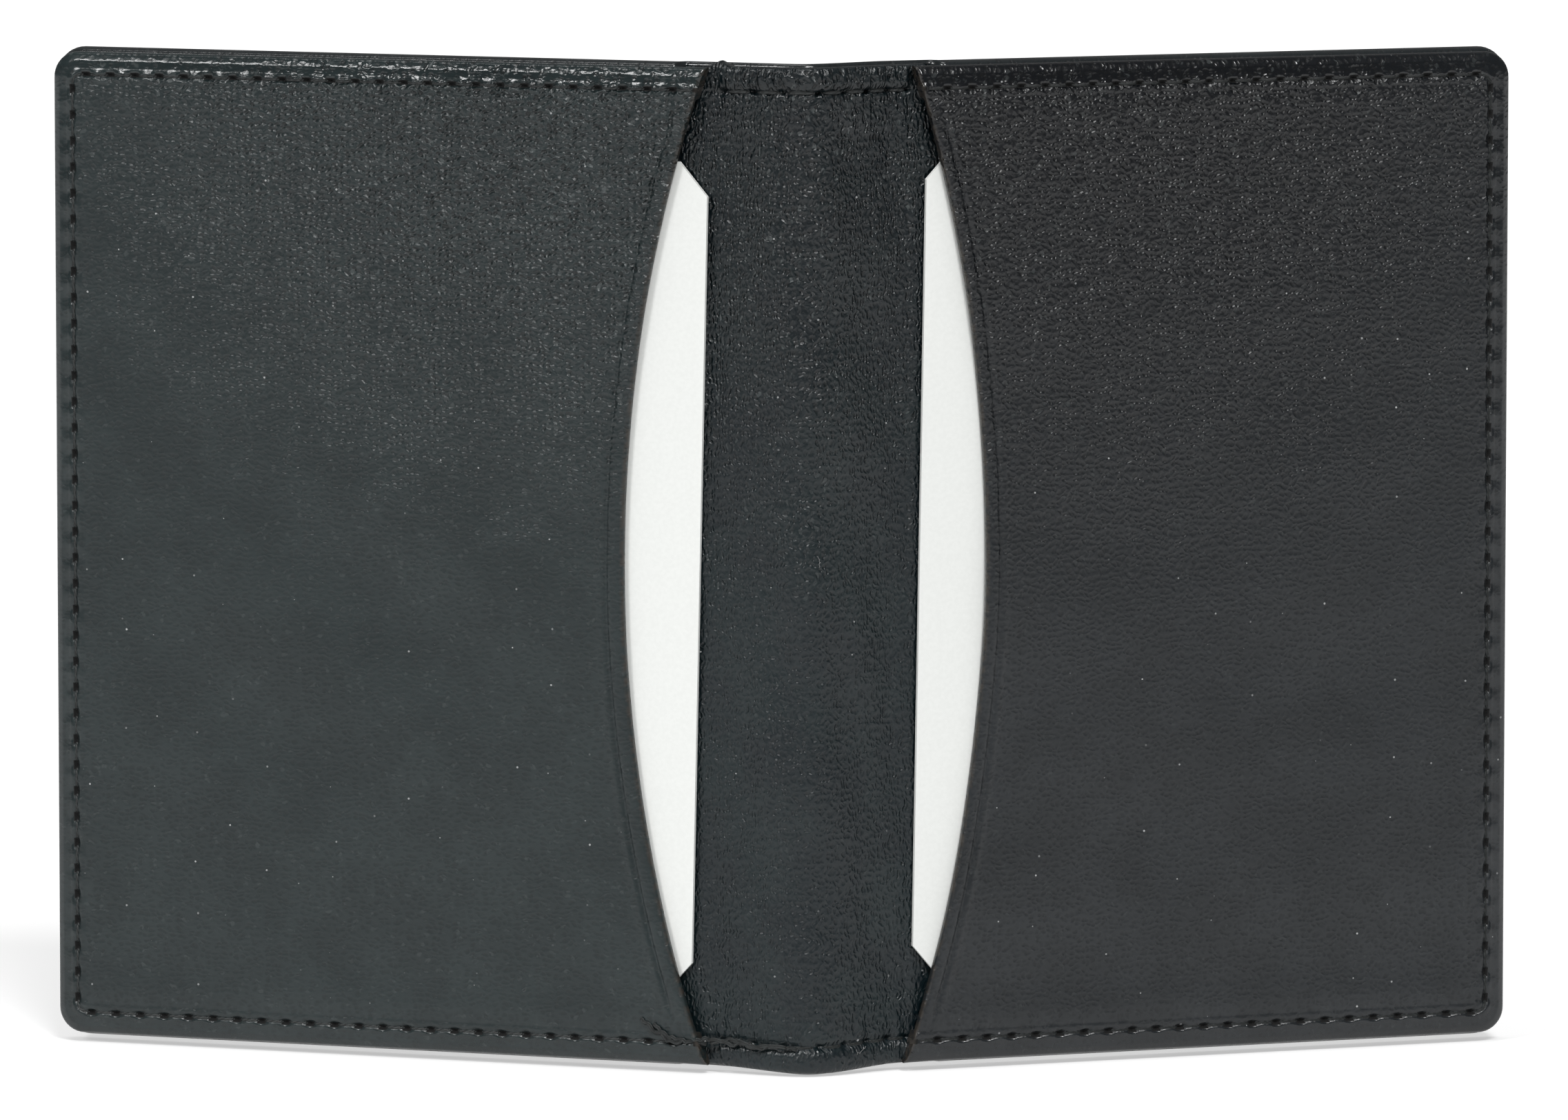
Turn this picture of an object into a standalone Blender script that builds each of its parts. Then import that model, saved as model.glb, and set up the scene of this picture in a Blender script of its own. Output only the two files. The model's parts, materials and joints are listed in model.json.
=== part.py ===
"""Bifold card holder in black leather, standing open on its lower edges.

Frame: +X runs to the right along the open holder, +Y points away from its inner side, +Z is up.
The origin is at the middle of the footprint, on the surface that the holder stands on.
Lengths are in metres. A panel is drawn flat: "reach" is measured along it from its fold line,
"height" along +Z, and "lift" square to it, from the fold plane towards the inner side.
"""

import math

import bmesh
import bpy
from mathutils import Vector

MM = 0.001

# Card inserts, which the holder is sized for. A card's edge is its reach on the side of the fold.
CARD_HEIGHT = 87.2 * MM
CARD_WIDTH = 54.0 * MM
CARD_CHAMFER_HIGH = 3.5 * MM
CARD_CHAMFER_WIDE = 3.1 * MM
LEFT_CARD_EDGE = 4.4 * MM
LEFT_CARD_RISE = -0.85 * MM
LEFT_CARD_LEAN = math.radians(1.25)
RIGHT_CARD_EDGE = 10.6 * MM
RIGHT_CARD_RISE = -0.3 * MM
RIGHT_CARD_LEAN = math.radians(1.0)

# The two panels and the fold. The rooms are what a pocket leaves round its card.
CARD_END_ROOM = 3.0 * MM
CARD_SIDE_ROOM = 6.1 * MM
CORNER_RADIUS = 3.1 * MM
REST_ANGLE = math.radians(19.0)
CLOSED_CLEARANCE = 0.25 * MM
FOLD_SHIFT = 2.0 * MM

# Leathers, boards and cards
GAP = 0.3 * MM
COVER_THICKNESS = 0.9 * MM
COVER_WRAP = 0.9 * MM
COVER_TURN_WIDTH = 7.0 * MM
TURNED_THICKNESS = 0.5 * MM
BOARD_THICKNESS = 0.3 * MM
LINING_THICKNESS = 0.4 * MM
STRIP_THICKNESS = 0.6 * MM
STRIP_HEM_WIDTH = 5.5 * MM
CARD_THICKNESS = 0.5 * MM
POCKET_THICKNESS = 0.8 * MM
POCKET_TURN_WIDTH = 5.5 * MM
POCKET_SET_BACK = 0.4 * MM
COVER_EDGE_ROUND = 0.8 * MM
POCKET_EDGE_ROUND = 0.4 * MM

# Pocket mouths: reach of the mouth's ends, how far its curve is cut in at mid height, and how much
# farther out its top end lies than the mean of both ends
LEFT_MOUTH_END = 3.3 * MM
LEFT_MOUTH_DEPTH = 9.2 * MM
LEFT_MOUTH_LEAN = 0.0 * MM
RIGHT_MOUTH_END = 9.15 * MM
RIGHT_MOUTH_DEPTH = 8.5 * MM
RIGHT_MOUTH_LEAN = 0.5 * MM
MOUTH_OVERHANG = 0.9 * MM
CREASE_INSET = 2.0 * MM
CREASE_RADIUS = 0.35 * MM
CREASE_DEPTH = 0.15 * MM
CREASE_END_MARGIN = 6.5 * MM

# The strip between the pockets arches forward here
ARCH_OFFSET = 2.5 * MM
ARCH_REACH = 1.9 * MM
ARCH_HANDLE = 2.3 * MM
ARCH_EASE = 2.6 * MM

# Stitching
STITCH_INSET = 2.3 * MM
THREAD_RADIUS = 0.2 * MM
CHANNEL_RADIUS = 0.5 * MM
CHANNEL_DEPTH = 0.4 * MM
THREAD_END_MARGIN = 1.0 * MM

# How finely curves are drawn
CORNER_STEPS = 7
EDGE_STEPS = 3
MOUTH_STEPS = 20
ARCH_STEPS = 9

# Size of a panel: its card, the room round the card, and the pocket's turned edge
POCKET_BORDER = POCKET_SET_BACK + POCKET_TURN_WIDTH
HEIGHT = CARD_HEIGHT + 2 * (CARD_END_ROOM + POCKET_BORDER)
PANEL_REACH = max(LEFT_CARD_EDGE, RIGHT_CARD_EDGE) + CARD_WIDTH + CARD_SIDE_ROOM + POCKET_BORDER

# Lifts of the layers, from the outer leather to the pocket's face
COVER_FRONT = -GAP / 2
COVER_BACK = COVER_FRONT - COVER_THICKNESS
BOARD_BACK = GAP / 2
BOARD_FRONT = BOARD_BACK + BOARD_THICKNESS
LINING_BACK = BOARD_FRONT + GAP
LINING_FRONT = LINING_BACK + LINING_THICKNESS
TURN_FRONT = LINING_BACK + TURNED_THICKNESS
CARD_BACK = max(LINING_FRONT, TURN_FRONT) + GAP
CARD_FRONT = CARD_BACK + CARD_THICKNESS
POCKET_BACK = CARD_FRONT + GAP
POCKET_FRONT = POCKET_BACK + POCKET_THICKNESS
POCKET_TURN_BACK = TURN_FRONT + GAP
THREAD_LIFT = -CHANNEL_DEPTH + GAP + THREAD_RADIUS
THREAD_FRONT = POCKET_FRONT + THREAD_LIFT + THREAD_RADIUS

# Half the distance between the fold lines: the closed panels clear each other
FOLD_HALF = THREAD_FRONT + CLOSED_CLEARANCE

# The leather's bend has its centre in front of the fold line, so each fold line comes forward by
# FOLD_SHIFT as its panel closes. The hinge axis is the one point that turns it there.
CLOSING_ANGLE = math.pi / 2 + REST_ANGLE
AXIS_FORWARD = FOLD_SHIFT / 2
AXIS_INWARD = AXIS_FORWARD / math.tan(CLOSING_ANGLE / 2)

# The fold lines lie this far behind the middle of the footprint, so that the origin is in its middle
BACK_DEPTH = (
    (PANEL_REACH - COVER_EDGE_ROUND) * math.sin(REST_ANGLE)
    - (COVER_BACK + COVER_EDGE_ROUND) * math.cos(REST_ANGLE)
    + COVER_EDGE_ROUND
)
FRONT_DEPTH = ARCH_REACH + LINING_FRONT + THREAD_LIFT + THREAD_RADIUS
FOLD_Y = (FRONT_DEPTH - BACK_DEPTH) / 2

SIDES = {
    "left": dict(
        sign=-1, mouth_end=LEFT_MOUTH_END, mouth_depth=LEFT_MOUTH_DEPTH, mouth_lean=LEFT_MOUTH_LEAN,
        card_edge=LEFT_CARD_EDGE, card_rise=LEFT_CARD_RISE, card_lean=LEFT_CARD_LEAN,
    ),
    "right": dict(
        sign=1, mouth_end=RIGHT_MOUTH_END, mouth_depth=RIGHT_MOUTH_DEPTH, mouth_lean=RIGHT_MOUTH_LEAN,
        card_edge=RIGHT_CARD_EDGE, card_rise=RIGHT_CARD_RISE, card_lean=RIGHT_CARD_LEAN,
    ),
}

COLOURS = {
    "outer_leather": ((0.040, 0.043, 0.045, 1.0), 0.50),
    "pocket_leather": ((0.049, 0.056, 0.057, 1.0), 0.45),
    "inner_leather": ((0.036, 0.040, 0.041, 1.0), 0.55),
    "board": ((0.33, 0.29, 0.23, 1.0), 0.90),
    "card": ((0.88, 0.89, 0.87, 1.0), 0.60),
    "thread": ((0.020, 0.021, 0.022, 1.0), 0.60),
}


def clear_scene():
    for old in list(bpy.data.objects):
        bpy.data.objects.remove(old, do_unlink=True)


def new_collection(name, hidden=False):
    collection = bpy.data.collections.new(name)
    bpy.context.scene.collection.children.link(collection)
    collection.hide_render = hidden
    return collection


def make_material(name, finish):
    colour, roughness = COLOURS[finish]
    material = bpy.data.materials.new(name)
    material.use_nodes = True
    shader = material.node_tree.nodes["Principled BSDF"]
    shader.inputs["Base Color"].default_value = colour
    shader.inputs["Roughness"].default_value = roughness
    shader.inputs["Metallic"].default_value = 0.0
    return material


def add_object(name, data, parent, finish=None):
    """A visible piece gets a finish, and a cutter gets none."""
    obj = bpy.data.objects.new(name, data)
    (PARTS if finish else CUTTERS).objects.link(obj)
    obj.parent = parent
    if finish:
        data.materials.append(make_material(name, finish))
    else:
        obj.hide_render = True
        obj.display_type = "WIRE"
    return obj


def add_empty(name, place, turn=0.0, parent=None):
    empty = bpy.data.objects.new(name, None)
    PARTS.objects.link(empty)
    empty.parent = parent
    empty.location = place
    empty.rotation_euler = (0.0, 0.0, turn)
    return empty


def loft(name, rings, parent, finish=None):
    """One closed body through rings of as many points each, with its two ends filled."""
    bm = bmesh.new()
    loops = [[bm.verts.new(point) for point in ring] for ring in rings]
    for low, high in zip(loops, loops[1:]):
        for i in range(len(low)):
            j = (i + 1) % len(low)
            bm.faces.new((low[i], low[j], high[j], high[i]))
    bm.faces.new(loops[0])
    bm.faces.new(loops[-1])
    bmesh.ops.recalc_face_normals(bm, faces=bm.faces)
    mesh = bpy.data.meshes.new(name)
    bm.to_mesh(mesh)
    bm.free()
    mesh.shade_smooth()
    mesh.set_sharp_from_angle(angle=math.radians(40.0))
    return add_object(name, mesh, parent, finish)


def tube(name, points, radius, parent, finish=None):
    """A round run through the points. As a cutter it becomes a mesh, which a Boolean can use."""
    curve = bpy.data.curves.new(name, "CURVE")
    curve.dimensions = "3D"
    curve.bevel_depth = radius
    curve.bevel_resolution = 1
    curve.use_fill_caps = True
    spline = curve.splines.new("POLY")
    spline.points.add(len(points) - 1)
    for slot, point in zip(spline.points, points):
        slot.co = (*point, 1.0)
    if finish:
        return add_object(name, curve, parent, finish)
    guide = add_object(name + "_guide", curve, parent)
    bpy.context.view_layer.update()
    mesh = bpy.data.meshes.new_from_object(guide.evaluated_get(bpy.context.evaluated_depsgraph_get()))
    bpy.data.objects.remove(guide)
    bm = bmesh.new()
    bm.from_mesh(mesh)
    bmesh.ops.remove_doubles(bm, verts=bm.verts, dist=0.001 * MM)
    bmesh.ops.recalc_face_normals(bm, faces=bm.faces)
    bm.to_mesh(mesh)
    bm.free()
    return add_object(name, mesh, parent)


def cut(target, cutter):
    modifier = target.modifiers.new("cut_" + cutter.name, "BOOLEAN")
    modifier.operation = "DIFFERENCE"
    modifier.solver = "EXACT"
    modifier.object = cutter


def arc(centre, radius, start, end, steps):
    """Points on a circle in the panel's plane, as (reach, height)."""
    found = []
    for i in range(steps + 1):
        angle = start + (end - start) * i / steps
        found.append((centre[0] + radius * math.cos(angle), centre[1] + radius * math.sin(angle)))
    return found


def outer_corners(reach, low, high, radius):
    """The outer side of a panel's outline, from its bottom edge round both corners to its top edge."""
    quarter = math.pi / 2
    bottom = arc((reach - radius, low + radius), radius, -quarter, 0.0, CORNER_STEPS)
    top = arc((reach - radius, high - radius), radius, 0.0, quarter, CORNER_STEPS)
    return bottom + top


def panel_outline(start, inset):
    """Outline of a panel's layer, square at the fold side."""
    low, high = inset, HEIGHT - inset
    radius = max(CORNER_RADIUS - inset, 0.5 * MM)
    return [(start, low), *outer_corners(PANEL_REACH - inset, low, high, radius), (start, high)]


def mouth_reach(side, height):
    """Where the pocket's mouth lies at this height: a circle's arc, cut in most at mid height."""
    half, depth = HEIGHT / 2, side["mouth_depth"]
    radius = (half * half + depth * depth) / (2 * depth)
    sag = radius - math.sqrt(radius * radius - (height - half) ** 2)
    return side["mouth_end"] + depth - sag + side["mouth_lean"] * (height - half) / half


def pocket_outline(side, inset, mouth_inset):
    """Outline of a pocket panel, concave along its mouth."""
    low, high = POCKET_SET_BACK + inset, HEIGHT - POCKET_SET_BACK - inset
    radius = max(CORNER_RADIUS - POCKET_SET_BACK - inset, 0.5 * MM)
    points = outer_corners(PANEL_REACH - POCKET_SET_BACK - inset, low, high, radius)
    for i in range(MOUTH_STEPS + 1):
        height = high + (low - high) * i / MOUTH_STEPS
        points.append((mouth_reach(side, height) + mouth_inset, height))
    return points


def place(side, outline, lift):
    """A flat outline of (reach, height) points as a ring in the panel's own frame."""
    return [Vector((side["sign"] * reach, -lift, height)) for reach, height in outline]


def rounded_edge(back, front, back_round, front_round):
    """(inset, lift) pairs from a body's back face over its rounded edge to its front face."""
    found = []
    for i in range(EDGE_STEPS + 1):
        angle = math.pi / 2 * i / EDGE_STEPS
        found.append((back_round * (1 - math.sin(angle)), back + back_round * (1 - math.cos(angle))))
    for i in range(EDGE_STEPS + 1):
        angle = math.pi / 2 * i / EDGE_STEPS
        found.append((front_round * (1 - math.cos(angle)), front - front_round * (1 - math.sin(angle))))
    return found


def stitch_path(side, margin):
    """(reach, height) points of the stitch line: along the bottom, up the outer side, back along the top."""
    inset = POCKET_SET_BACK + STITCH_INSET
    low, high = inset, HEIGHT - inset
    radius = max(CORNER_RADIUS - inset, 1.0 * MM)
    return [
        (mouth_reach(side, low) + margin, low),
        *outer_corners(PANEL_REACH - inset, low, high, radius),
        (mouth_reach(side, high) + margin, high),
    ]


def make_cover(name, side, parent):
    """Outer leather with its edge wrapped over and turned in along three sides."""
    start = side["mouth_end"] - MOUTH_OVERHANG
    edge = rounded_edge(COVER_BACK, TURN_FRONT, COVER_EDGE_ROUND, TURNED_THICKNESS)
    rings = [place(side, panel_outline(start, inset), lift) for inset, lift in edge]
    cover = loft("outer_cover_" + name, rings, parent, "outer_leather")
    inside = panel_outline(start - GAP, COVER_WRAP)
    hollow = [place(side, inside, COVER_FRONT), place(side, inside, LINING_BACK)]
    cut(cover, loft("cover_hollow_" + name, hollow, parent))
    window = panel_outline(start - GAP, COVER_TURN_WIDTH)
    opening = [place(side, window, (COVER_FRONT + LINING_BACK) / 2), place(side, window, POCKET_FRONT)]
    cut(cover, loft("cover_window_" + name, opening, parent))
    channel = place(side, stitch_path(side, -2 * CHANNEL_RADIUS), COVER_BACK - CHANNEL_RADIUS + CHANNEL_DEPTH)
    cut(cover, tube("back_channel_" + name, channel, CHANNEL_RADIUS, parent))


def make_flat_layer(label, name, side, parent, inset, back, front, finish):
    start = side["mouth_end"] - MOUTH_OVERHANG
    outline = panel_outline(start, inset)
    loft(label + "_" + name, [place(side, outline, back), place(side, outline, front)], parent, finish)


def make_pocket(name, side, parent):
    """Pocket panel: curved mouth with a pressed crease, edges turned under on three sides, stitch channel."""
    edge = rounded_edge(POCKET_TURN_BACK, POCKET_FRONT, POCKET_EDGE_ROUND, POCKET_EDGE_ROUND)
    rings = [place(side, pocket_outline(side, inset, inset), lift) for inset, lift in edge]
    pocket = loft("pocket_panel_" + name, rings, parent, "pocket_leather")
    beyond = side["mouth_end"] - PANEL_REACH / 4
    room = panel_outline(beyond, POCKET_BORDER)
    hollow = [place(side, room, LINING_BACK), place(side, room, POCKET_BACK)]
    cut(pocket, loft("pocket_room_" + name, hollow, parent))
    channel = place(side, stitch_path(side, -2 * CHANNEL_RADIUS), POCKET_FRONT + CHANNEL_RADIUS - CHANNEL_DEPTH)
    cut(pocket, tube("stitch_channel_" + name, channel, CHANNEL_RADIUS, parent))
    first = POCKET_SET_BACK + STITCH_INSET + CREASE_END_MARGIN
    last = HEIGHT - first
    heights = [first + (last - first) * i / MOUTH_STEPS for i in range(MOUTH_STEPS + 1)]
    line = [(mouth_reach(side, height) + CREASE_INSET, height) for height in heights]
    crease = place(side, line, POCKET_FRONT + CREASE_RADIUS - CREASE_DEPTH)
    cut(pocket, tube("mouth_crease_" + name, crease, CREASE_RADIUS, parent))


def make_card(name, side, parent):
    """Card insert with cut corners. Its own frame is at its middle, and it slides along the panel."""
    wide, high = CARD_WIDTH / 2, CARD_HEIGHT / 2
    inner_wide, inner_high = wide - CARD_CHAMFER_WIDE, high - CARD_CHAMFER_HIGH
    corners = [
        (-wide, -inner_high), (-inner_wide, -high), (inner_wide, -high), (wide, -inner_high),
        (wide, inner_high), (inner_wide, high), (-inner_wide, high), (-wide, inner_high),
    ]
    rings = [
        [Vector((across, lift, up)) for across, up in corners]
        for lift in (-CARD_THICKNESS / 2, CARD_THICKNESS / 2)
    ]
    card = loft("card_insert_" + name, rings, parent, "card")
    middle = side["card_edge"] + wide
    card.location = (side["sign"] * middle, -(CARD_BACK + CARD_FRONT) / 2, HEIGHT / 2 + side["card_rise"])
    card.rotation_euler = (0.0, side["card_lean"], 0.0)


def on_panel(side, reach):
    """A point of the fold plane of a panel, seen from above, in the frame of the fold lines."""
    across = FOLD_HALF + reach * math.cos(REST_ANGLE)
    return Vector((side["sign"] * across, reach * math.sin(REST_ANGLE), 0.0))


def arch_line(trim):
    """(point, square) pairs seen from above along the strip, from the left panel over its crest to the right."""
    left, right = SIDES["left"], SIDES["right"]
    ends = [on_panel(s, s["mouth_end"] - MOUTH_OVERHANG - trim) for s in (left, right)]
    crest = Vector((ARCH_OFFSET, -ARCH_REACH, 0.0))
    along = Vector((math.cos(REST_ANGLE), math.sin(REST_ANGLE), 0.0))
    leave = Vector((along.x, -along.y, 0.0))
    level = Vector((1.0, 0.0, 0.0))
    spans = [
        (ends[0], ends[0] + leave * ARCH_EASE, crest - level * ARCH_HANDLE, crest),
        (crest, crest + level * ARCH_HANDLE, ends[1] - along * ARCH_EASE, ends[1]),
    ]
    found = []
    for number, (a, b, c, d) in enumerate(spans):
        for i in range(number, ARCH_STEPS + 1):
            t = i / ARCH_STEPS
            u = 1 - t
            point = u**3 * a + 3 * u * u * t * b + 3 * u * t * t * c + t**3 * d
            heading = u * u * (b - a) + 2 * u * t * (c - b) + t * t * (d - c)
            heading.normalize()
            found.append((point, Vector((heading.y, -heading.x, 0.0))))
    return found


def make_spine_sheet(name, profile, finish):
    """A sheet that follows the arch. The profile lists (height, back lift, front lift)."""
    line = arch_line(GAP)
    rings = []
    for height, back, front in profile:
        up = Vector((0.0, 0.0, height))
        face = [point + square * front + up for point, square in line]
        rear = [point + square * back + up for point, square in reversed(line)]
        rings.append(face + rear)
    return loft(name, rings, FOLD_MIDDLE, finish)


def make_spine():
    """Outer leather of the fold, the inner strip with its hems, and the stitches across its ends."""
    nick = COVER_THICKNESS / 4
    make_spine_sheet("outer_cover_spine", [
        (0.0, COVER_BACK + nick, COVER_FRONT - nick),
        (nick, COVER_BACK, COVER_FRONT),
        (HEIGHT - nick, COVER_BACK, COVER_FRONT),
        (HEIGHT, COVER_BACK + nick, COVER_FRONT - nick),
    ], "outer_leather")
    low, high = POCKET_SET_BACK, HEIGHT - POCKET_SET_BACK
    hem_back, sheet_back, front = BOARD_BACK, LINING_FRONT - STRIP_THICKNESS, LINING_FRONT
    roll = (front - hem_back) / 3
    strip = make_spine_sheet("inner_strip", [
        (low, hem_back + roll, front - roll),
        (low + roll, hem_back, front),
        (low + STRIP_HEM_WIDTH, hem_back, front),
        (low + STRIP_HEM_WIDTH + roll, sheet_back, front),
        (high - STRIP_HEM_WIDTH - roll, sheet_back, front),
        (high - STRIP_HEM_WIDTH, hem_back, front),
        (high - roll, hem_back, front),
        (high, hem_back + roll, front - roll),
    ], "inner_leather")
    for label, height in (("bottom", low + STITCH_INSET), ("top", high - STITCH_INSET)):
        up = Vector((0.0, 0.0, height))
        channel_lift = front + CHANNEL_RADIUS - CHANNEL_DEPTH
        channel = [point + square * channel_lift + up for point, square in arch_line(-CHANNEL_RADIUS)]
        cut(strip, tube("strip_channel_" + label, channel, CHANNEL_RADIUS, FOLD_MIDDLE))
        thread_lift = front + THREAD_LIFT
        thread = [point + square * thread_lift + up for point, square in arch_line(2 * GAP)]
        tube("stitching_spine_" + label, thread, THREAD_RADIUS, FOLD_MIDDLE, "thread")


def make_side(name, side):
    """One panel, drawn flat on its fold line, which hangs on its hinge axis."""
    sign = side["sign"]
    hinge = add_empty("hinge_" + name, (sign * (FOLD_HALF - AXIS_INWARD), FOLD_Y - AXIS_FORWARD, 0.0))
    fold = add_empty("fold_" + name, (sign * AXIS_INWARD, AXIS_FORWARD, 0.0), sign * REST_ANGLE, hinge)
    make_cover(name, side, fold)
    make_flat_layer("stiffener", name, side, fold, COVER_WRAP + GAP, BOARD_BACK, BOARD_FRONT, "board")
    make_flat_layer(
        "inner_lining", name, side, fold, COVER_TURN_WIDTH + GAP, LINING_BACK, LINING_FRONT, "inner_leather"
    )
    make_pocket(name, side, fold)
    make_card(name, side, fold)
    thread = place(side, stitch_path(side, THREAD_END_MARGIN), POCKET_FRONT + THREAD_LIFT)
    tube("stitching_" + name, thread, THREAD_RADIUS, fold, "thread")
    thread = place(side, stitch_path(side, THREAD_END_MARGIN), COVER_BACK - THREAD_LIFT)
    tube("stitching_back_" + name, thread, THREAD_RADIUS, fold, "thread")


clear_scene()
PARTS = new_collection("card_holder")
CUTTERS = new_collection("card_holder_cutters", hidden=True)
FOLD_MIDDLE = add_empty("fold_middle", (0.0, FOLD_Y, 0.0))
for side_name, side_values in SIDES.items():
    make_side(side_name, side_values)
make_spine()
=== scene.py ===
# %% [markdown]
# # Dressing a card holder in black leather
# The holder is a bifold. Two stiff panels, each with a pocket and a white card, are joined by a fold
# that flexes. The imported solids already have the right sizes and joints, so this script only gives
# them their looks: grained leather, pressed creases, gathers at the fold and lock stitches one by one.
# Work is in millimetres, because leather is, and each mesh is turned into metres as it is made.

# %% Load the frame
import json
import math

import bmesh
import bpy
import numpy as np
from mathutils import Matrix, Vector

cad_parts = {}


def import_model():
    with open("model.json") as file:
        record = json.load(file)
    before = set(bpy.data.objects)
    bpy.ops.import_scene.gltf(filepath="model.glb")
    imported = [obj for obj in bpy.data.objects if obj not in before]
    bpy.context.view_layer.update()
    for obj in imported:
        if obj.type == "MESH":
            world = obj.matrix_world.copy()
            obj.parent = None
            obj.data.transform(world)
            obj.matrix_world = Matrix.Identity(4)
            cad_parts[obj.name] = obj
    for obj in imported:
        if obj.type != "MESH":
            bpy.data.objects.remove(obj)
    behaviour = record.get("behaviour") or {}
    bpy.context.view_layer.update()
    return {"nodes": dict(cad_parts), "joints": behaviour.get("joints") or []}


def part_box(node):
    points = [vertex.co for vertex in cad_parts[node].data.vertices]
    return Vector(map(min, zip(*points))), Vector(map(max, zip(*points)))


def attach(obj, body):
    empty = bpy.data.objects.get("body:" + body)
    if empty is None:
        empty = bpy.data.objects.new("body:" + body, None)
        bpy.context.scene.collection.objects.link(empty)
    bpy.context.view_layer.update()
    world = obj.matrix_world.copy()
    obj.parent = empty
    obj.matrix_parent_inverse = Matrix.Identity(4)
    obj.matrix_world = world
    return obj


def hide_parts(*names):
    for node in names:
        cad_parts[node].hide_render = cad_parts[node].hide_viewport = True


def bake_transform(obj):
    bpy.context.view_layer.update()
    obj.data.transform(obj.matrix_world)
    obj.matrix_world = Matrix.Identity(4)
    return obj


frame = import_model()
MM = 0.001

# %% [markdown]
# ## Where the fold lines are
# A card slides along its panel, so the slide joint's axis shows the angle at which a panel stands.
# Each hinge axis lies a little in front of its fold line, where the bending leather has its centre.
# Going back from the axis to the fold line takes the same small steps that the solids were built with.

# %% Read the fold from the joints
JOINTS = {joint["name"]: joint for joint in frame["joints"]}
slide = JOINTS["card_left_slide"]["axis"]
hinge = JOINTS["left_fold"]["pos_m"]
REST_ANGLE = math.atan2(slide[1], -slide[0])
AXIS_FORWARD = 1.0
AXIS_INWARD = AXIS_FORWARD / math.tan((math.pi / 2 + REST_ANGLE) / 2)
FOLD_HALF = AXIS_INWARD - hinge[0] / MM
FOLD_Y = hinge[1] / MM + AXIS_FORWARD
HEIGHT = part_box("outer_cover_left")[1].z / MM
print(f"panels {math.degrees(REST_ANGLE):.1f} degrees back")
print(f"fold lines at x {FOLD_HALF:.2f} mm, y {FOLD_Y:.2f} mm")

# %% [markdown]
# ## Sizes of the leathers
# "Reach" is measured along a panel from its fold line. "Lift" is measured square to the panel, from the
# fold plane towards the inner side, so the layers of leather are simply stacked lifts. A mouth is given
# by its reach at the ends, how deep its arc is, and how far it leans outward at the top.

# %% Name the sizes
PANEL_REACH = 76.6
CORNER_BLOCK = 4.0
CORNER_RADIUS = 3.1
COVER_BACK, COVER_FRONT, TURN_BACK, TURN_FRONT = -1.05, -0.15, 0.78, 1.24
STRIP_BACK, STRIP_FRONT = 0.75, 1.15
RIM_BACK, POCKET_BACK, POCKET_FRONT = 1.32, 2.35, 3.15
POCKET_SET_BACK = 0.4
STITCH_INSET = 2.3
STITCH_PITCH = 2.75
STEPS_PER_STITCH = 8
MOUTHS = {"left": (3.3, 9.2, 0.0), "right": (9.15, 8.5, 0.5)}
STRIP_ENDS = {"left": 6.2, "right": 12.2}
SIGNS = {"left": -1, "right": 1}
SAG, SAG_MIDDLE, SAG_WIDTH, SAG_RISE = 0.6, 3.6, 7.0, 7
JOINED_REACH = {"left": 2.1, "right": 7.95}
print(f"panels {PANEL_REACH} x {HEIGHT:.1f} mm, {POCKET_FRONT - COVER_BACK:.1f} mm thick at the pockets")

# %% [markdown]
# ## The line that the leather follows
# Seen from above, the leather runs straight along the left panel, arches forward over the fold, and
# runs straight again. Drawing every sheet along this one line keeps the layers parallel, and lets the
# grain flow from panel to panel. The arch is two Bezier spans that meet at its crest.

# %% Draw the plan line
ARCH_CREST = np.array([2.5, -1.9])
ARCH_HANDLE = 2.3
ARCH_EASE = 2.6
SPAN_STEPS = 150
PAST_EDGE = 5


def on_fold_plane(side, reach):
    """Plan point of a panel's fold plane, measured from the middle of the fold."""
    across = FOLD_HALF + reach * math.cos(REST_ANGLE)
    return np.array([SIGNS[side] * across, reach * math.sin(REST_ANGLE)])


def span(a, b, c, d):
    """One Bezier span from a to d, with b and c as its handles."""
    t = np.linspace(0, 1, SPAN_STEPS)[:, None]
    u = 1 - t
    return u**3 * a + 3 * u * u * t * b + 3 * u * t * t * c + t**3 * d


def plan_line():
    """Arc length from the middle of the fold, plan points and inward normals."""
    left, right = (on_fold_plane(side, JOINED_REACH[side]) for side in ("left", "right"))
    away = np.array([math.cos(REST_ANGLE), math.sin(REST_ANGLE)])
    into = np.array([away[0], -away[1]])
    level = np.array([ARCH_HANDLE, 0.0])
    first = span(left, left + into * ARCH_EASE, ARCH_CREST - level, ARCH_CREST)
    second = span(ARCH_CREST, ARCH_CREST + level, right - away * ARCH_EASE, right)
    start, end = (on_fold_plane(side, PANEL_REACH + PAST_EDGE) for side in ("left", "right"))
    points = np.vstack([start, first, second[1:], end])
    steps = np.linalg.norm(np.diff(points, axis=0), axis=1)
    along = np.concatenate([[0], np.cumsum(steps)])
    along -= np.interp(0.0, points[:, 0], along)
    heading = np.gradient(points, axis=0)
    heading[:2], heading[-2:] = into, away
    heading /= np.linalg.norm(heading, axis=1)[:, None]
    return along, points, np.stack([heading[:, 1], -heading[:, 0]], axis=1)


PLAN_ALONG, PLAN_POINTS, PLAN_NORMALS = plan_line()
print(f"plan line: {len(PLAN_ALONG)} points")

# %% [markdown]
# ## From the flat hide to the holder
# A spot on the flat hide is given by three numbers: along the plan line, height, and lift from it.
# One function turns these into a place, so a shape can be worked out flat, as a maker cuts it, and still
# comes out bent round the fold.

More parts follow.
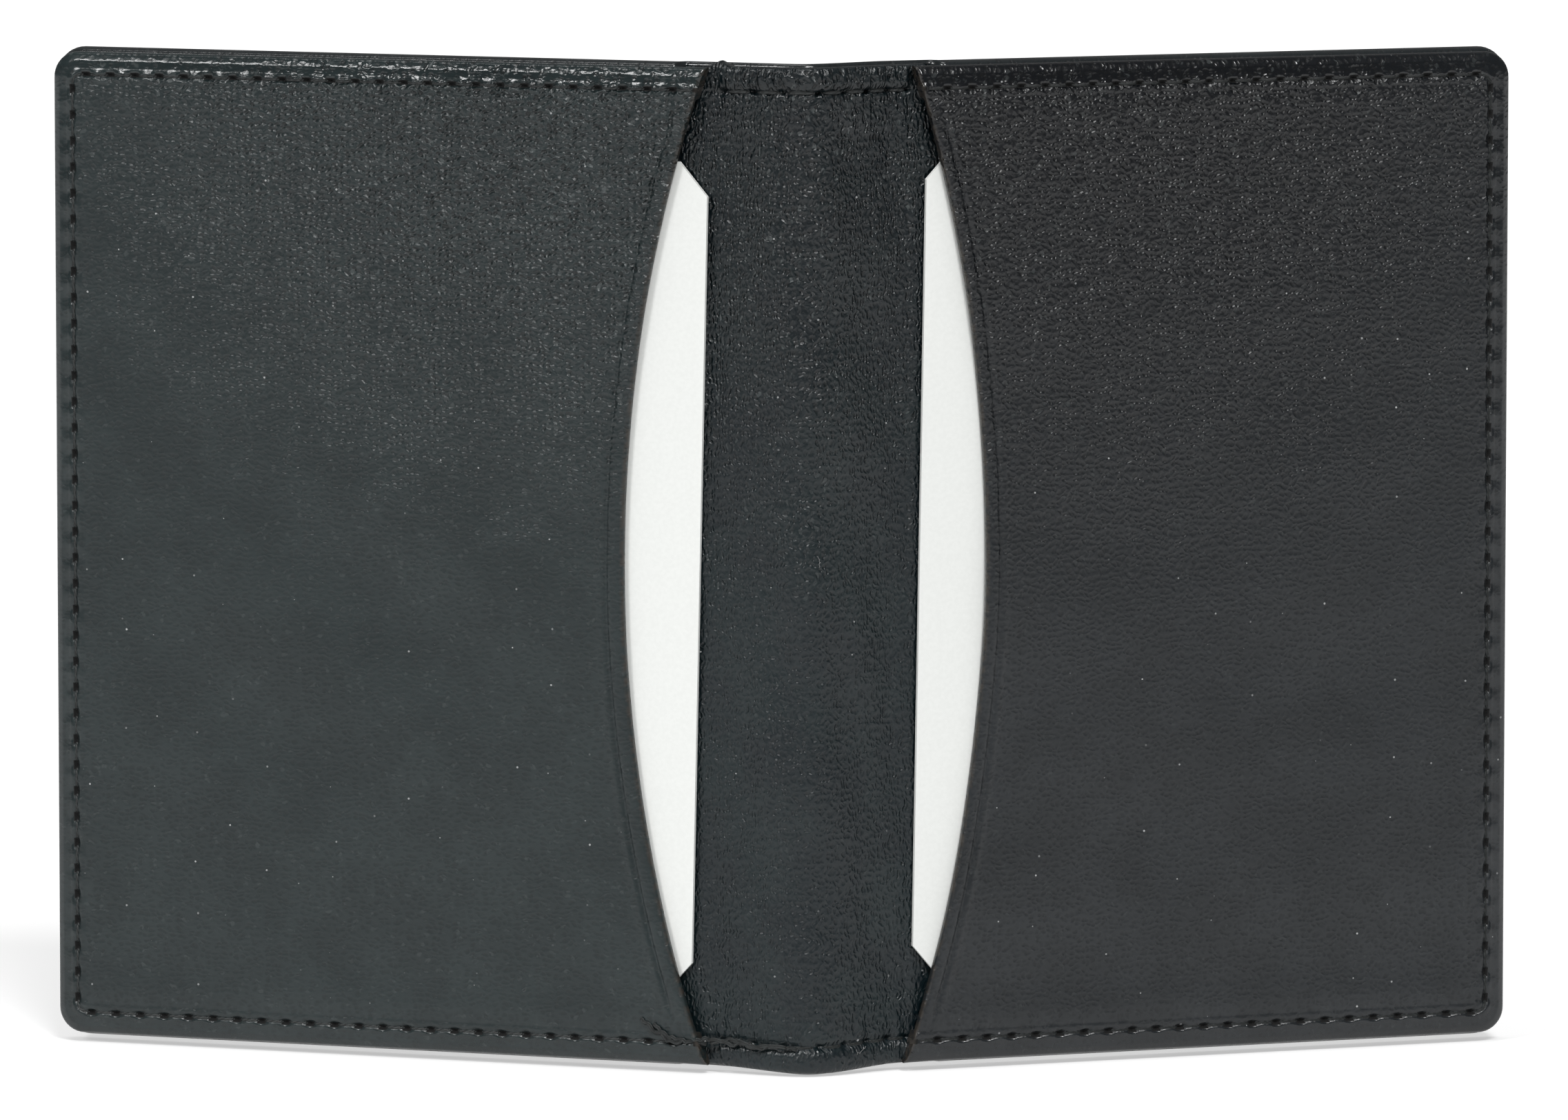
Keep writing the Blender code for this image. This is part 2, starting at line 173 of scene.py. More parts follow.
# %% Place spots on the line
def world(along, lift, height):
    """Points in millimetres of a sheet that follows the plan line."""
    axes = []
    for k, origin in ((0, 0.0), (1, FOLD_Y)):
        line = np.interp(along, PLAN_ALONG, PLAN_POINTS[:, k])
        normal = np.interp(along, PLAN_ALONG, PLAN_NORMALS[:, k])
        axes.append(origin + line + lift * normal)
    return np.stack([axes[0], axes[1], height + 0 * axes[0]], axis=-1)


def seam_offset(side):
    """How much farther a point is from the middle of the fold than from its own fold line."""
    point = on_fold_plane(side, JOINED_REACH[side])
    along = np.interp(point[0], PLAN_POINTS[:, 0], PLAN_ALONG)
    return abs(along) - JOINED_REACH[side]


OFFSETS = {side: seam_offset(side) for side in SIGNS}
print("middle of the fold to its fold lines:", {side: round(OFFSETS[side], 2) for side in SIGNS}, "mm")

# %% [markdown]
# ## Small helpers for shaping
# Leather is never flat. A smooth step blends one thickness into the next, a soft dent presses a crease
# or a needle hole, and a sum of seeded sine waves makes the slow unevenness of a hide.

# %% Shaping helpers
def smooth(t):
    """0 below 0, 1 above 1, and an S-shaped blend between."""
    t = np.clip(t, 0.0, 1.0)
    return t * t * (3 - 2 * t)


def dent(distance, width):
    """1 in the middle of a soft dent, 0 well outside it."""
    return np.exp(-((distance / width) ** 2))


def quarter_round(distance, width, drop):
    """How far an edge has rolled away at this distance in from it."""
    t = np.clip(1 - distance / width, 0.0, 1.0)
    return drop * (1 - np.sqrt(np.maximum(0.0, 1 - t * t)))


def waves(x, z, size, seed, count=10):
    """Seeded unevenness of about the given size, mostly between -1 and 1."""
    rng = np.random.default_rng(seed)
    total = 0.0 * (x + z)
    for _ in range(count):
        angle = rng.uniform(0, math.tau)
        rate = rng.uniform(0.6, 1.6) / size
        phase = rng.uniform(0, math.tau)
        total = total + np.sin(math.tau * rate * (x * math.cos(angle) + z * math.sin(angle)) + phase)
    return total / math.sqrt(count)


def sag(along, height):
    """How far the fold's lower edge hangs down, which is what the holder stands on."""
    return SAG * dent(along - SAG_MIDDLE, SAG_WIDTH) * smooth(1 - height / SAG_RISE)


def open_at(side, height):
    """Reach of the pocket's mouth, an arc of a circle that is cut in most at mid height."""
    end, depth, lean = MOUTHS[side]
    half = HEIGHT / 2
    radius = (half * half + depth * depth) / (2 * depth)
    inside = np.clip(np.abs(height - half), 0, half)
    return end + depth - (radius - np.sqrt(radius * radius - inside**2)) + lean * (height - half) / half


middles = {side: round(float(open_at(side, HEIGHT / 2)), 1) for side in SIGNS}
print("mouths at mid height, from the fold lines:", middles, "mm")

# %% [markdown]
# ## From numbers to a mesh
# Every vertex keeps where it lay on the flat hide: its place along, its height and its lift. Textures
# read that, so the grain bends with the leather in every pose instead of sliding over it. Two more
# maps say how far a point is along and in from the stitched edge, and how far in from the mouth.

# %% Make a mesh
SHARP_ANGLE = math.radians(50.0)


def as_piece(name, mesh):
    """Turns every face outward, shades the mesh smooth and puts it in the scene."""
    bm = bmesh.new()
    bm.from_mesh(mesh)
    bmesh.ops.recalc_face_normals(bm, faces=bm.faces)
    bm.to_mesh(mesh)
    bm.free()
    mesh.shade_smooth()
    piece = bpy.data.objects.new(name, mesh)
    bpy.context.scene.collection.objects.link(piece)
    return piece


def lay_map(mesh, name, first, second):
    """A UV map made of two numbers for each vertex."""
    corners = np.empty(len(mesh.loops), np.int32)
    mesh.loops.foreach_get("vertex_index", corners)
    layer = mesh.uv_layers.new(name=name)
    values = np.stack([first[corners], second[corners]], axis=1)
    layer.uv.foreach_set("vector", values.astype(np.float32).ravel())


def build_mesh(name, table, faces, face_slots=None):
    """table holds an array for each of: along, lift, height, run, inset, mouth. Lengths are in mm."""
    height = table["height"] - sag(table["along"], table["height"])
    points = world(table["along"], table["lift"], height) * MM
    mesh = bpy.data.meshes.new(name)
    mesh.from_pydata(points.tolist(), [], faces)
    if face_slots is not None:
        mesh.polygons.foreach_set("material_index", face_slots)
    flat = mesh.attributes.new("flat", "FLOAT_VECTOR", "POINT")
    spots = np.stack([table["along"], table["height"], table["lift"]], axis=1)
    flat.data.foreach_set("vector", spots.astype(np.float32).ravel())
    lay_map(mesh, "stitch", table["run"], table["inset"])
    lay_map(mesh, "mouth", table["height"], table["mouth"])
    piece = as_piece(name, mesh)
    mesh.set_sharp_from_angle(angle=SHARP_ANGLE)
    print(f"{name}: {len(mesh.polygons)} faces")
    return piece


# %% [markdown]
# ## The outline of a stitched panel
# Pockets and covers share an outline: along the bottom, round a corner, up the outer side, round the
# other corner and back along the top. The line of stitches follows it, so points are spaced by the
# stitch, eight to each. Closer points near the open side hold the pressed crease along the mouth.

# %% Outline of a stitched panel
NEAR_MOUTH = [0.06, 0.14, 0.25, 0.42, 0.65, 0.9, 1.1, 1.25, 1.38]
NEAR_MOUTH += [1.5, 1.62, 1.75, 1.88, 2.0, 2.12, 2.28, 2.5, 2.8]
CORNER_STEPS = 15
CLOSEST = 0.07
MOUTH_HOLD, MOUTH_EASE = 5, 40


class Outline:
    """Three stitched sides of a panel. q runs out from the middle of the fold."""

    def __init__(self, side, set_back, opening, near):
        """opening gives q of the mouth at a height, and near the extra points beside it."""
        self.side, self.low, self.opening = side, set_back, opening
        self.start = opening(self.low) if opening else 0.0
        self.edge = PANEL_REACH - set_back + OFFSETS[side]
        self.height = HEIGHT - 2 * set_back
        self.corner = CORNER_BLOCK - set_back
        self.round = CORNER_RADIUS - set_back
        self.stitch = STITCH_INSET + POCKET_SET_BACK - set_back
        around = 2 * (self.corner - self.round) + self.round * math.pi / 2
        self.quarter = around * (1 - self.stitch / self.corner)
        straight = self.edge - self.corner - self.start
        parts = [straight, self.quarter, self.height - 2 * self.corner, self.quarter, straight]
        self.ends = np.concatenate([[0], np.cumsum(parts)])
        self.total = self.ends[-1]
        self.stitches = round(self.total / STITCH_PITCH)
        self.pitch = self.total / self.stitches
        even = np.linspace(0, self.total, self.stitches * STEPS_PER_STITCH + 1)
        near = np.array(near)
        corners = [np.linspace(self.ends[k], self.ends[k + 1], CORNER_STEPS) for k in (1, 3)]
        for k in (1, 3):
            even = even[(even <= self.ends[k]) | (even >= self.ends[k + 1])]
        fixed = np.concatenate([self.ends, near, self.total - near, *corners])
        clear = np.abs(even[:, None] - fixed[None, :]).min(axis=1) > CLOSEST
        self.runs = np.unique(np.round(np.concatenate([even[clear], fixed]), 5))
        self.near = near

    def at(self, run, inset):
        """(q, height) at a run along the stitches and an inset from the edge."""
        e, c = self.ends, self.corner
        first, second = (self.around(run - e[k]) * (1 - inset / c) for k in (1, 3))
        where = [run <= e[1], run <= e[2], run <= e[3], run <= e[4]]
        q = np.select(
            where,
            [self.start + run, self.edge - c + first[0], self.edge - inset, self.edge - c + second[1]],
            self.start + self.total - run,
        )
        z = np.select(
            where,
            [inset + 0 * run, c - first[1], c + run - e[2], self.height - c + second[0]],
            self.height - inset,
        )
        return self.shifted(q, z + self.low), z + self.low

    def around(self, run):
        """A corner's outline, seen from the inner corner of its block: a square rounded by a circle."""
        angle = np.clip(run / self.quarter, 0, 1) * math.pi / 2
        s, c = np.sin(angle), np.cos(angle)
        rest = self.corner - self.round
        lean = rest * (s + c)
        curved = lean + np.sqrt(np.maximum(0, self.round**2 - 2 * rest**2 + lean**2))
        flat = np.maximum(s, c) * rest > np.minimum(s, c) * self.corner
        reach = np.where(flat, self.corner / np.maximum(s, c), curved)
        return np.array([reach * s, reach * c])

    def shifted(self, q, z):
        """Follows the curve of the mouth near it, and lets go of it farther out."""
        if not self.opening:
            return q
        hold = 1 - smooth((q - self.start - MOUTH_HOLD) / MOUTH_EASE)
        return q + (self.opening(z) - self.start) * hold

    def nearest(self, runs):
        """Numbers of the outline's points that lie closest to these runs."""
        return [int(np.abs(self.runs - r).argmin()) for r in runs]


print(f"outline: {len(NEAR_MOUTH)} extra points beside a mouth")

# %% [markdown]
# ## A grid inside that outline
# The rim is drawn as rings that roll over the edge, close together where the stitches lie. Only the rim
# needs such fine rings. Inside it, a coarser grid fills the panel, and triangles join the two.

# %% Grid inside the rim
COARSE_STEP = 1.5


def grid_stops(outline):
    """Stations where the inner grid meets the rim: along the bottom, up the side, and back on top."""
    straight = outline.ends[1]
    inner = np.arange(outline.near[-1] + 0.6, straight - 0.5, COARSE_STEP)
    marks = np.concatenate([[0.0], outline.near, inner, [straight]])
    low, high = outline.ends[2:4]
    rows = np.linspace(low, high, round((high - low) / COARSE_STEP))
    return outline.nearest(marks), outline.nearest(rows), outline.nearest(outline.total - marks)


def join_rim(ring, path, node):
    """Triangles between a fine ring and a coarser row of grid nodes."""
    faces = []
    for (n0, v0), (n1, v1) in zip(path, path[1:]):
        if v0 == v1:
            faces += [(ring[n], ring[n + 1], node(v0)) for n in range(n0, n1)]
            continue
        middle = (n0 + n1) // 2
        faces += [(ring[n], ring[n + 1], node(v0)) for n in range(n0, middle)]
        faces.append((ring[middle], ring[middle + 1], node(v1), node(v0)))
        faces += [(ring[n], ring[n + 1], node(v1)) for n in range(middle + 1, n1)]
    return faces


print(f"inner grid: {COARSE_STEP} mm")

# %% [markdown]
# ## The body itself
# A profile lists the rings from one face of the leather round its rim to the other, each with its lift
# on the panel and in the fold. At the fold the turned edge is pared thin, as it is on the real holder,
# so the lift passes from one value to the other there. A wall closes the open side.

# %% Build the closed body
def fold_taper(side, q):
    """0 in the fold and 1 on the panel. The turned edge is pared thin where the fold has to bend."""
    return smooth(q - OFFSETS[side] - STRIP_ENDS[side] - 0.3)


def rings_at(insets, lift, fold_lift, face):
    """Rings of a profile that lie at the same lifts, on the panel and in the fold."""
    return [(inset, lift, fold_lift, face) for inset in insets]


def bordered_body(name, outline, profile, finish, wall_slot=0):
    """profile holds rings (inset, lift on the panel, lift in the fold, face), from one face of the
    leather round its rim to the other. finish gives the fine relief, and wall_slot the open side's
    material."""
    sign, count = SIGNS[outline.side], len(outline.runs)
    bottom, rows, top = grid_stops(outline)
    columns, last_row = len(bottom), len(rows) - 1
    table = {key: [] for key in ("q", "height", "lift", "run", "inset", "face")}

    def put(q, z, level, run, inset):
        lift = level[1] + (level[2] - level[1]) * (1 - fold_taper(outline.side, q))
        for key, value in zip(table, (q, z, lift, run, inset, level[3])):
            table[key].append(np.broadcast_to(value, q.shape).astype(float))

    for level in profile[1:-1]:
        q, z = outline.at(outline.runs, level[0])
        put(q, z, level, outline.runs / outline.pitch, level[0])
    low_q, low_z = outline.at(outline.runs[bottom], outline.corner)
    high_q, high_z = outline.at(outline.runs[top], outline.corner)
    row_z = outline.at(outline.runs[rows], 0.0)[1]
    share = (row_z - low_z[0]) / (high_z[0] - low_z[0])
    straight_q = outline.start + outline.runs[bottom]
    q = np.repeat(straight_q[:, None], len(rows), axis=1)
    z = np.repeat(row_z[None, :], columns, axis=0)
    top_q = outline.start + outline.total - outline.runs[top]
    q = q + (top_q - straight_q)[:, None] * share[None, :]
    q = outline.shifted(q, z)
    border = np.minimum(np.minimum(z - outline.low, outline.low + outline.height - z), outline.edge - q)
    run = np.where(z < HEIGHT / 2, q - outline.start, outline.total - q + outline.start) / outline.pitch
    for level in (profile[0], profile[-1]):
        put(q.ravel(), z.ravel(), level, run.ravel(), border.ravel())

    rings = [[k * count + n for n in range(count)] for k in range(len(profile) - 2)]
    bases = [len(rings) * count, len(rings) * count + columns * len(rows)]
    faces = []
    for low, high in zip(rings, rings[1:]):
        faces += [(low[n], low[n + 1], high[n + 1], high[n]) for n in range(count - 1)]
    path = [(n, (i, 0)) for i, n in enumerate(bottom)]
    path += [(n, (columns - 1, j)) for j, n in enumerate(rows)]
    path += [(top[i], (i, last_row)) for i in reversed(range(columns))]
    nodes = []
    for base, ring in zip(bases, (rings[0], rings[-1])):
        def node(spot, base=base):
            return base + spot[0] * len(rows) + spot[1]

        nodes.append(node)
        faces += join_rim(ring, path, node)
        for i in range(columns - 1):
            for j in range(last_row):
                faces.append((node((i, j)), node((i + 1, j)), node((i + 1, j + 1)), node((i, j + 1))))
    slots = [0] * len(faces)
    inner, outer = nodes
    for j in range(last_row):
        faces.append((inner((0, j)), inner((0, j + 1)), outer((0, j + 1)), outer((0, j))))
    for n, j in ((0, 0), (count - 1, last_row)):
        faces.append((inner((0, j)), *(ring[n] for ring in rings), outer((0, j))))
    slots += [wall_slot] * (len(faces) - len(slots))

    table = {key: np.concatenate(parts) for key, parts in table.items()}
    table["along"] = sign * table["q"]
    mouth = outline.opening(table["height"]) if outline.opening else 0.0
    table["mouth"] = table["q"] - mouth
    table["lift"] = table["lift"] + finish(table)
    return build_mesh(name, table, faces, slots)


# %% [markdown]
# ## The pressed line of stitches
# Pulled thread sinks into leather: a shallow groove runs along the seam, with a needle hole at each
# stitch and leather puckered up between two holes. It is real relief on both sides of the seam, because
# it catches the light. The map made above says how far each point is from the line and from a hole.

# %% Press the seam
FRONT, EDGE, BACK = 1.0, 0.0, -1.0
GROOVE_DEPTH, HOLE_DEPTH, PUCKER = 0.12, 0.42, 0.05


def stitch_press(table, line):
    """Groove of the stitches, a needle hole for each, and leather puckered up between them."""
    off = table["inset"] - line
    phase = table["run"] - np.round(table["run"])
    used = smooth((table["mouth"] - 0.5) / 0.3)
    groove = GROOVE_DEPTH * dent(off, 0.45)
    hole = HOLE_DEPTH * dent(off, 0.28) * dent(phase * STITCH_PITCH, 0.50)
    pucker = PUCKER * np.cos(math.tau * table["run"]) * dent(off, 1.2)
    return (hole + groove + pucker) * used


print(f"needle holes {HOLE_DEPTH} mm deep, {STITCH_PITCH} mm apart")

# %% [markdown]
# ## Outer leather
# One skin wraps both panels and the fold. Its edge is pasted over the board and turned in, which
# rounds the rim. It is made in two halves that meet in the middle of the fold. The lock stitch comes
# through on this side too, so its line is pressed in here.

# %% Outer leather of both halves
RIM_STEPS = 12
RIM_ROUND = 0.6
SEAM_COLUMNS = [round(0.45 * k, 3) for k in range(1, 33)]
FAR_FROM_MOUTH = 50.0


def skin_profile():
    """Rings from the inner face, over the turned-in flap and round the rim to the back."""
    thin, lip = -0.62, -0.52
    levels = rings_at((CORNER_BLOCK, 3.6, 0.9), COVER_FRONT, thin, EDGE)
    levels += rings_at((0.9, 3.7), TURN_BACK, lip, EDGE)
    levels += rings_at((3.8, 1.2, 0.6), TURN_FRONT, COVER_FRONT, FRONT)
    middle, half = (TURN_FRONT + COVER_BACK) / 2, (TURN_FRONT - COVER_BACK) / 2
    fold_middle, fold_half = (COVER_FRONT + COVER_BACK) / 2, (COVER_FRONT - COVER_BACK) / 2
    for k in range(1, RIM_STEPS):
        angle = math.pi * k / RIM_STEPS
        inset, level = RIM_ROUND * (1 - math.sin(angle)), math.cos(angle)
        levels.append((inset, middle + half * level, fold_middle + fold_half * level, EDGE))
    fine = [0.6, 1.0, 1.5, 1.9, 2.15, 2.35, 2.5, 2.6, 2.7, 2.8, 2.9, 3.05, 3.25, 3.5, 3.75]
    return levels + rings_at((*fine, CORNER_BLOCK), COVER_BACK, COVER_BACK, BACK)


def skin_finish(outline):
    """Relief of the back: stitches, slow unevenness and the hidden flap's edge showing through."""
    def finish(table):
        back = table["face"] == BACK
        table["mouth"] = FAR_FROM_MOUTH + 0 * table["q"]
        slow = 0.05 * waves(table["along"], table["height"], 26, 3) * smooth(table["inset"] / 6)
        hem_end = 0.05 * dent(table["inset"] - 3.45, 0.22)
        return np.where(back, stitch_press(table, outline.stitch) - slow + hem_end, 0.0)

    return finish


skins = {}
for side in SIGNS:
    outline = Outline(side, 0.0, None, SEAM_COLUMNS)
    skins[side] = bordered_body("outer_leather_" + side, outline, skin_profile(), skin_finish(outline))

# %% [markdown]
# ## Pocket leather
# A pocket is one piece of leather with three edges turned under, so its rim is twice as thick and
# rounded. Its fourth edge, the mouth, is cut to an arc and left raw, with a line pressed beside it.
# The stitches pull the leather down, and it stands up again just inside them.

# %% Pockets
CREASE_INSET = {"left": 1.88, "right": 1.5}
CREASE, RIDGE, SWELL, UNEVEN = 0.17, 0.21, 0.10, 0.09


def pocket_profile():
    """Rings from the face down the bevelled rim and under it, and in again to the back."""
    block = CORNER_BLOCK - POCKET_SET_BACK
    fine = [3.4, 3.2, 3.0, 2.82, 2.68, 2.55, 2.45, 2.35, 2.25, 2.15, 2.06]
    fine += [1.97, 1.88, 1.79, 1.7, 1.6, 1.35, 1.15, 0.95]
    levels = rings_at((block, *fine), POCKET_FRONT, POCKET_FRONT, FRONT)
    bevel = [(0.80, 0.07), (0.65, 0.15), (0.50, 0.23), (0.36, 0.31)]
    bevel += [(0.22, 0.40), (0.12, 0.54), (0.05, 0.73)]
    under = [(0.0, 0.95), (0.0, 1.15), (0.05, 1.40), (0.16, 1.60), (0.35, 1.75), (0.60, 1.82)]
    for face, rolled in ((FRONT, bevel), (EDGE, under)):
        for inset, drop in rolled:
            levels += rings_at((inset,), POCKET_FRONT - drop, POCKET_FRONT - drop, face)
    levels += rings_at((0.9, 3.3), RIM_BACK, RIM_BACK, EDGE)
    levels += rings_at((3.4,), POCKET_BACK, POCKET_BACK, EDGE)
    return levels + rings_at((block,), POCKET_BACK, POCKET_BACK, BACK)


def pocket_finish(outline):
    """Relief of the pocket: sunk stitches, the ridges beside them, and the crease along the mouth."""
    line = CREASE_INSET[outline.side]
    seed = 11 + SIGNS[outline.side]

    def finish(table):
        mouth, inset = table["q"] - outline.opening(table["height"]), table["inset"]
        table["mouth"] = mouth
        rim = smooth((inset - 0.6) / 0.4)
        pressed = -stitch_press(table, outline.stitch) - 0.06 * dent(inset - 3.3, 0.2)
        ridge = RIDGE * smooth((inset - 1.50) / 0.58) * smooth((2.45 - inset) / 0.3)
        swell = SWELL * dent(inset - 4.6, 1.6) + ridge
        swell = swell - 0.05 * dent(inset - 1.1, 0.16) + 0.05 * dent(inset - 2.9, 0.35)
        ends = smooth((inset - 4.0) / 3.0)
        crease = CREASE * dent(mouth - line + 0.85, 0.85) - CREASE * dent(mouth - line, 0.24)
        crease = crease + 0.15 * dent(mouth - line - 0.55, 0.36)
        slow = UNEVEN * waves(table["along"], table["height"], 24, seed) * smooth(inset / 7)
        slow = slow + 0.015 * waves(table["along"], table["height"], 5, seed + 5) * smooth(inset / 3)
        edge = -quarter_round(mouth, 0.5, 0.36)
        shaped = (pressed + swell) * rim + crease * ends + slow + edge
        front = table["face"] == FRONT
        inside = (table["face"] == BACK) & (inset >= outline.corner - 0.01)
        return np.where(front, shaped, np.where(inside, slow + quarter_round(mouth, 0.2, 0.12), 0.0))

    return finish


pockets, pocket_outlines = {}, {}
for side in SIGNS:
    offset = OFFSETS[side]

    def opening(height, side=side, offset=offset):
        return open_at(side, height) + offset

    outline = Outline(side, POCKET_SET_BACK, opening, NEAR_MOUTH)
    pocket_outlines[side] = outline
    finish = pocket_finish(outline)
    pockets[side] = bordered_body("pocket_leather_" + side, outline, pocket_profile(), finish, 1)

# %% [markdown]
# ## Sizes of the inner leather
# Between the pockets a strip of thinner leather lines the fold and runs on under the cards. At its top
# and bottom it is turned under in a band, and a line of stitches lies in the corner below the band. The
# grid's rows are close together in the bands, where the wrinkles are, and wider in the middle.

# %% Size the strip
BAND = 2.75
BAND_LIFT = 0.5
LINING_INSET = 7.3
LINING_END = 69.2
FOLD_LINES = {"top": HEIGHT - BAND - 0.12, "bottom": BAND + 0.02}
HOLES_ACROSS = [-5.7, -2.5, 0.5, 3.7, 6.0, 8.3, 10.5, 12.7]
FOLD_HOLES = np.interp(HOLES_ACROSS, PLAN_POINTS[:, 0], PLAN_ALONG)
FRAYED_AT, FRAYED_RISE = -6.4, 0.55


def graded(stops, steps):
    """Values from stop to stop, with a step size of its own for each stretch."""
    values = [stops[0]]
    for low, high, step in zip(stops, stops[1:], steps):
        values += list(np.linspace(low, high, max(1, round((high - low) / step)) + 1)[1:])
    return np.array(values)


def strip_rows():
    """Heights of the grid: close together in the two bands, wider in the middle."""
    near = [0.3, 0.36, 0.46, 0.6, 0.8, 1.05]
    low = graded([1.05, 3.6, LINING_INSET, 16.0], [0.14, 0.22, 0.4])[1:]
    middle = graded([16.0, HEIGHT - 16.0], [0.62])[1:-1]
    half = np.concatenate([near, low])
    return np.concatenate([half, middle, (HEIGHT - half)[::-1]])


print(f"strip: {len(strip_rows())} rows, {len(FOLD_HOLES)} needle holes in each line")

# %% [markdown]
# ## The face of the strip
# The stitches gather the bands into fine upright wrinkles, and pulled creases run on from each needle
# hole and fade away. The leather between is slack, so it waves slowly. All of this is a sum of seeded
# waves that are narrow along the strip and long up it, each let in only where it belongs.

# %% Shape the strip's face
GATHER, FINE_GATHER, PULL, SLACK = 0.15, 0.09, 0.09, 0.12


def to_hole(along):
    """Distance to the nearest needle hole of the fold."""
    return np.abs(along[..., None] - FOLD_HOLES).min(axis=-1)


def strip_front(side, along, height):
    """Lift of the strip's face: band, gathers, creases and slow unevenness."""
    from_end = np.minimum(height, HEIGHT - height)
    top = height > HEIGHT / 2
    reach = np.abs(along) - OFFSETS[side]
    visible = 1 - smooth((reach - MOUTHS[side][0] - 0.2) / 0.8)
    near_hole = dent(to_hole(along), 0.6)
    edge_of_band = BAND - 0.12 + 0.1 * waves(along, 0 * height, 3.0, 21) * top
    band = np.sqrt(np.clip((edge_of_band + 0.15 - from_end) / 0.8, 0, 1))
    start = smooth((2.35 - reach + 0.25 * (from_end - 1.5)) / 0.15)
    band = band * np.where(along < 0, start, 1.0) * visible
    upright = GATHER * waves(along, 0.10 * height, 1.1, 31, 12) * dent(from_end - 1.6, 1.3)
    upright = upright + FINE_GATHER * waves(along, 0.25 * height, 0.62, 37, 14) * dent(from_end - 1.7, 1.2)
    upright = upright * np.where(top, 1.0, 0.35)
    below = smooth((from_end - BAND) / 0.4) * visible
    fade = np.exp(-np.maximum(0, from_end - BAND) / 4.5)
    pulled = PULL * waves(along, 0.08 * height, 1.3, 41, 12) - 0.16 * near_hole
    pulled = pulled * fade * np.where(top, 1.0, 0.5)
    slow = SLACK * (waves(along, 0.25 * height, 7.0, 47) - 1.0) * smooth((from_end - BAND) / 6)
    fine = 0.03 * waves(along, 0.35 * height, 0.9, 53, 16)
    tuck = -0.14 * dent(from_end - BAND - 0.2, 0.25) * visible
    face = BAND_LIFT * band + upright * band + (pulled + slow + fine) * below + tuck
    return STRIP_FRONT + face - quarter_round(from_end - 0.3, 0.9, 0.6)


def strip_holes(along, height):
    """Depth of the needle holes in the two lines of fold stitches."""
    off = np.minimum(np.abs(height - FOLD_LINES["top"]), np.abs(height - FOLD_LINES["bottom"]))
    return HOLE_DEPTH * dent(off, 0.28) * dent(to_hole(along), 0.36)


print(f"band {BAND} mm wide, {BAND_LIFT} mm proud, gathers up to {GATHER + FINE_GATHER:.2f} mm")

# %% [markdown]
# ## Inner leather
# A plain grid of cells is enough here, because the sheet has square corners. Cells that would lie under
# the turned edges of the outer leather are left out, and the open borders are closed with walls.

# %% Inner leather of both halves
def inner_leather(side):
    """One half of the strip with the lining that runs on under the card."""
    sign = SIGNS[side]
    offset = OFFSETS[side]
    end = STRIP_ENDS[side] + offset
    columns = graded([0.0, end, LINING_END + offset], [0.2, 3.2])
    rows = strip_rows()
    q, z = np.meshgrid(columns, rows, indexing="ij")
    along = sign * q
    from_end = np.minimum(z, HEIGHT - z)
    front = strip_front(side, along, z) - strip_holes(along, z) * (q < end)
    hem = (1 - smooth((from_end - BAND - 1.0) / 0.3)) * (1 - smooth((q - end + 1.2) / 0.8))
    back = STRIP_BACK - 0.55 * hem + 0.05 * (from_end < 0.35)
    flange = STRIP_FRONT - 0.05
    front = np.where(q > end, np.minimum(front, flange), front)
    cells = np.ones((len(columns) - 1, len(rows) - 1), bool)
    middle_z = (rows[1:] + rows[:-1]) / 2
    cells[columns[:-1] >= end - 1e-6, :] = (middle_z > LINING_INSET) & (middle_z < HEIGHT - LINING_INSET)
    index = np.arange(q.size).reshape(q.shape)
    faces = []
    for i, j in zip(*np.nonzero(cells)):
        loop = (index[i, j], index[i + 1, j], index[i + 1, j + 1], index[i, j + 1])
        faces.append(tuple(int(v) for v in loop))
        faces.append(tuple(int(v) + q.size for v in reversed(loop)))
        for di, dj, a, b in ((-1, 0, 0, 3), (1, 0, 1, 2), (0, -1, 0, 1), (0, 1, 3, 2)):
            ni, nj = i + di, j + dj
            if not (0 <= ni < cells.shape[0] and 0 <= nj < cells.shape[1] and cells[ni, nj]):
                faces.append((int(loop[a]), int(loop[b]), int(loop[b]) + q.size, int(loop[a]) + q.size))
    z = z + FRAYED_RISE * dent(along - FRAYED_AT, 0.75) * smooth((z - 102.5) / 2.0)
    table = {
        "along": np.tile(along.ravel(), 2), "height": np.tile(z.ravel(), 2),
        "lift": np.concatenate([front.ravel(), back.ravel()]),
        "run": np.tile(q.ravel(), 2) / STITCH_PITCH, "inset": np.tile(from_end.ravel(), 2),
        "mouth": np.tile(q.ravel(), 2),
    }
    used = np.unique(np.array([v for face in faces for v in face]))
    renumber = {int(v): n for n, v in enumerate(used)}
    faces = [tuple(renumber[v] for v in face) for face in faces]
    table = {key: values[used] for key, values in table.items()}
    return build_mesh("inner_leather_" + side, table, faces)


linings = {side: inner_leather(side) for side in SIGNS}

# %% [markdown]
# ## Lock stitches
# From outside, a lock stitch is a row of short strands, each of which comes up through one needle hole
# and goes down through the next. Each strand here is a small tube that arches from hole to hole. They
# are all built at once from arrays, because there are several hundred.

# %% Strand of thread
THREAD_RADIUS = 0.2
THREAD_SPREAD = 1.15
THREAD_SIDES = 8
STRAND_SHAPE = [(0.15, -0.50), (0.19, -0.30), (0.27, -0.12), (0.5, -0.05)]
STRAND_SHAPE += [(0.73, -0.12), (0.81, -0.30), (0.85, -0.50)]


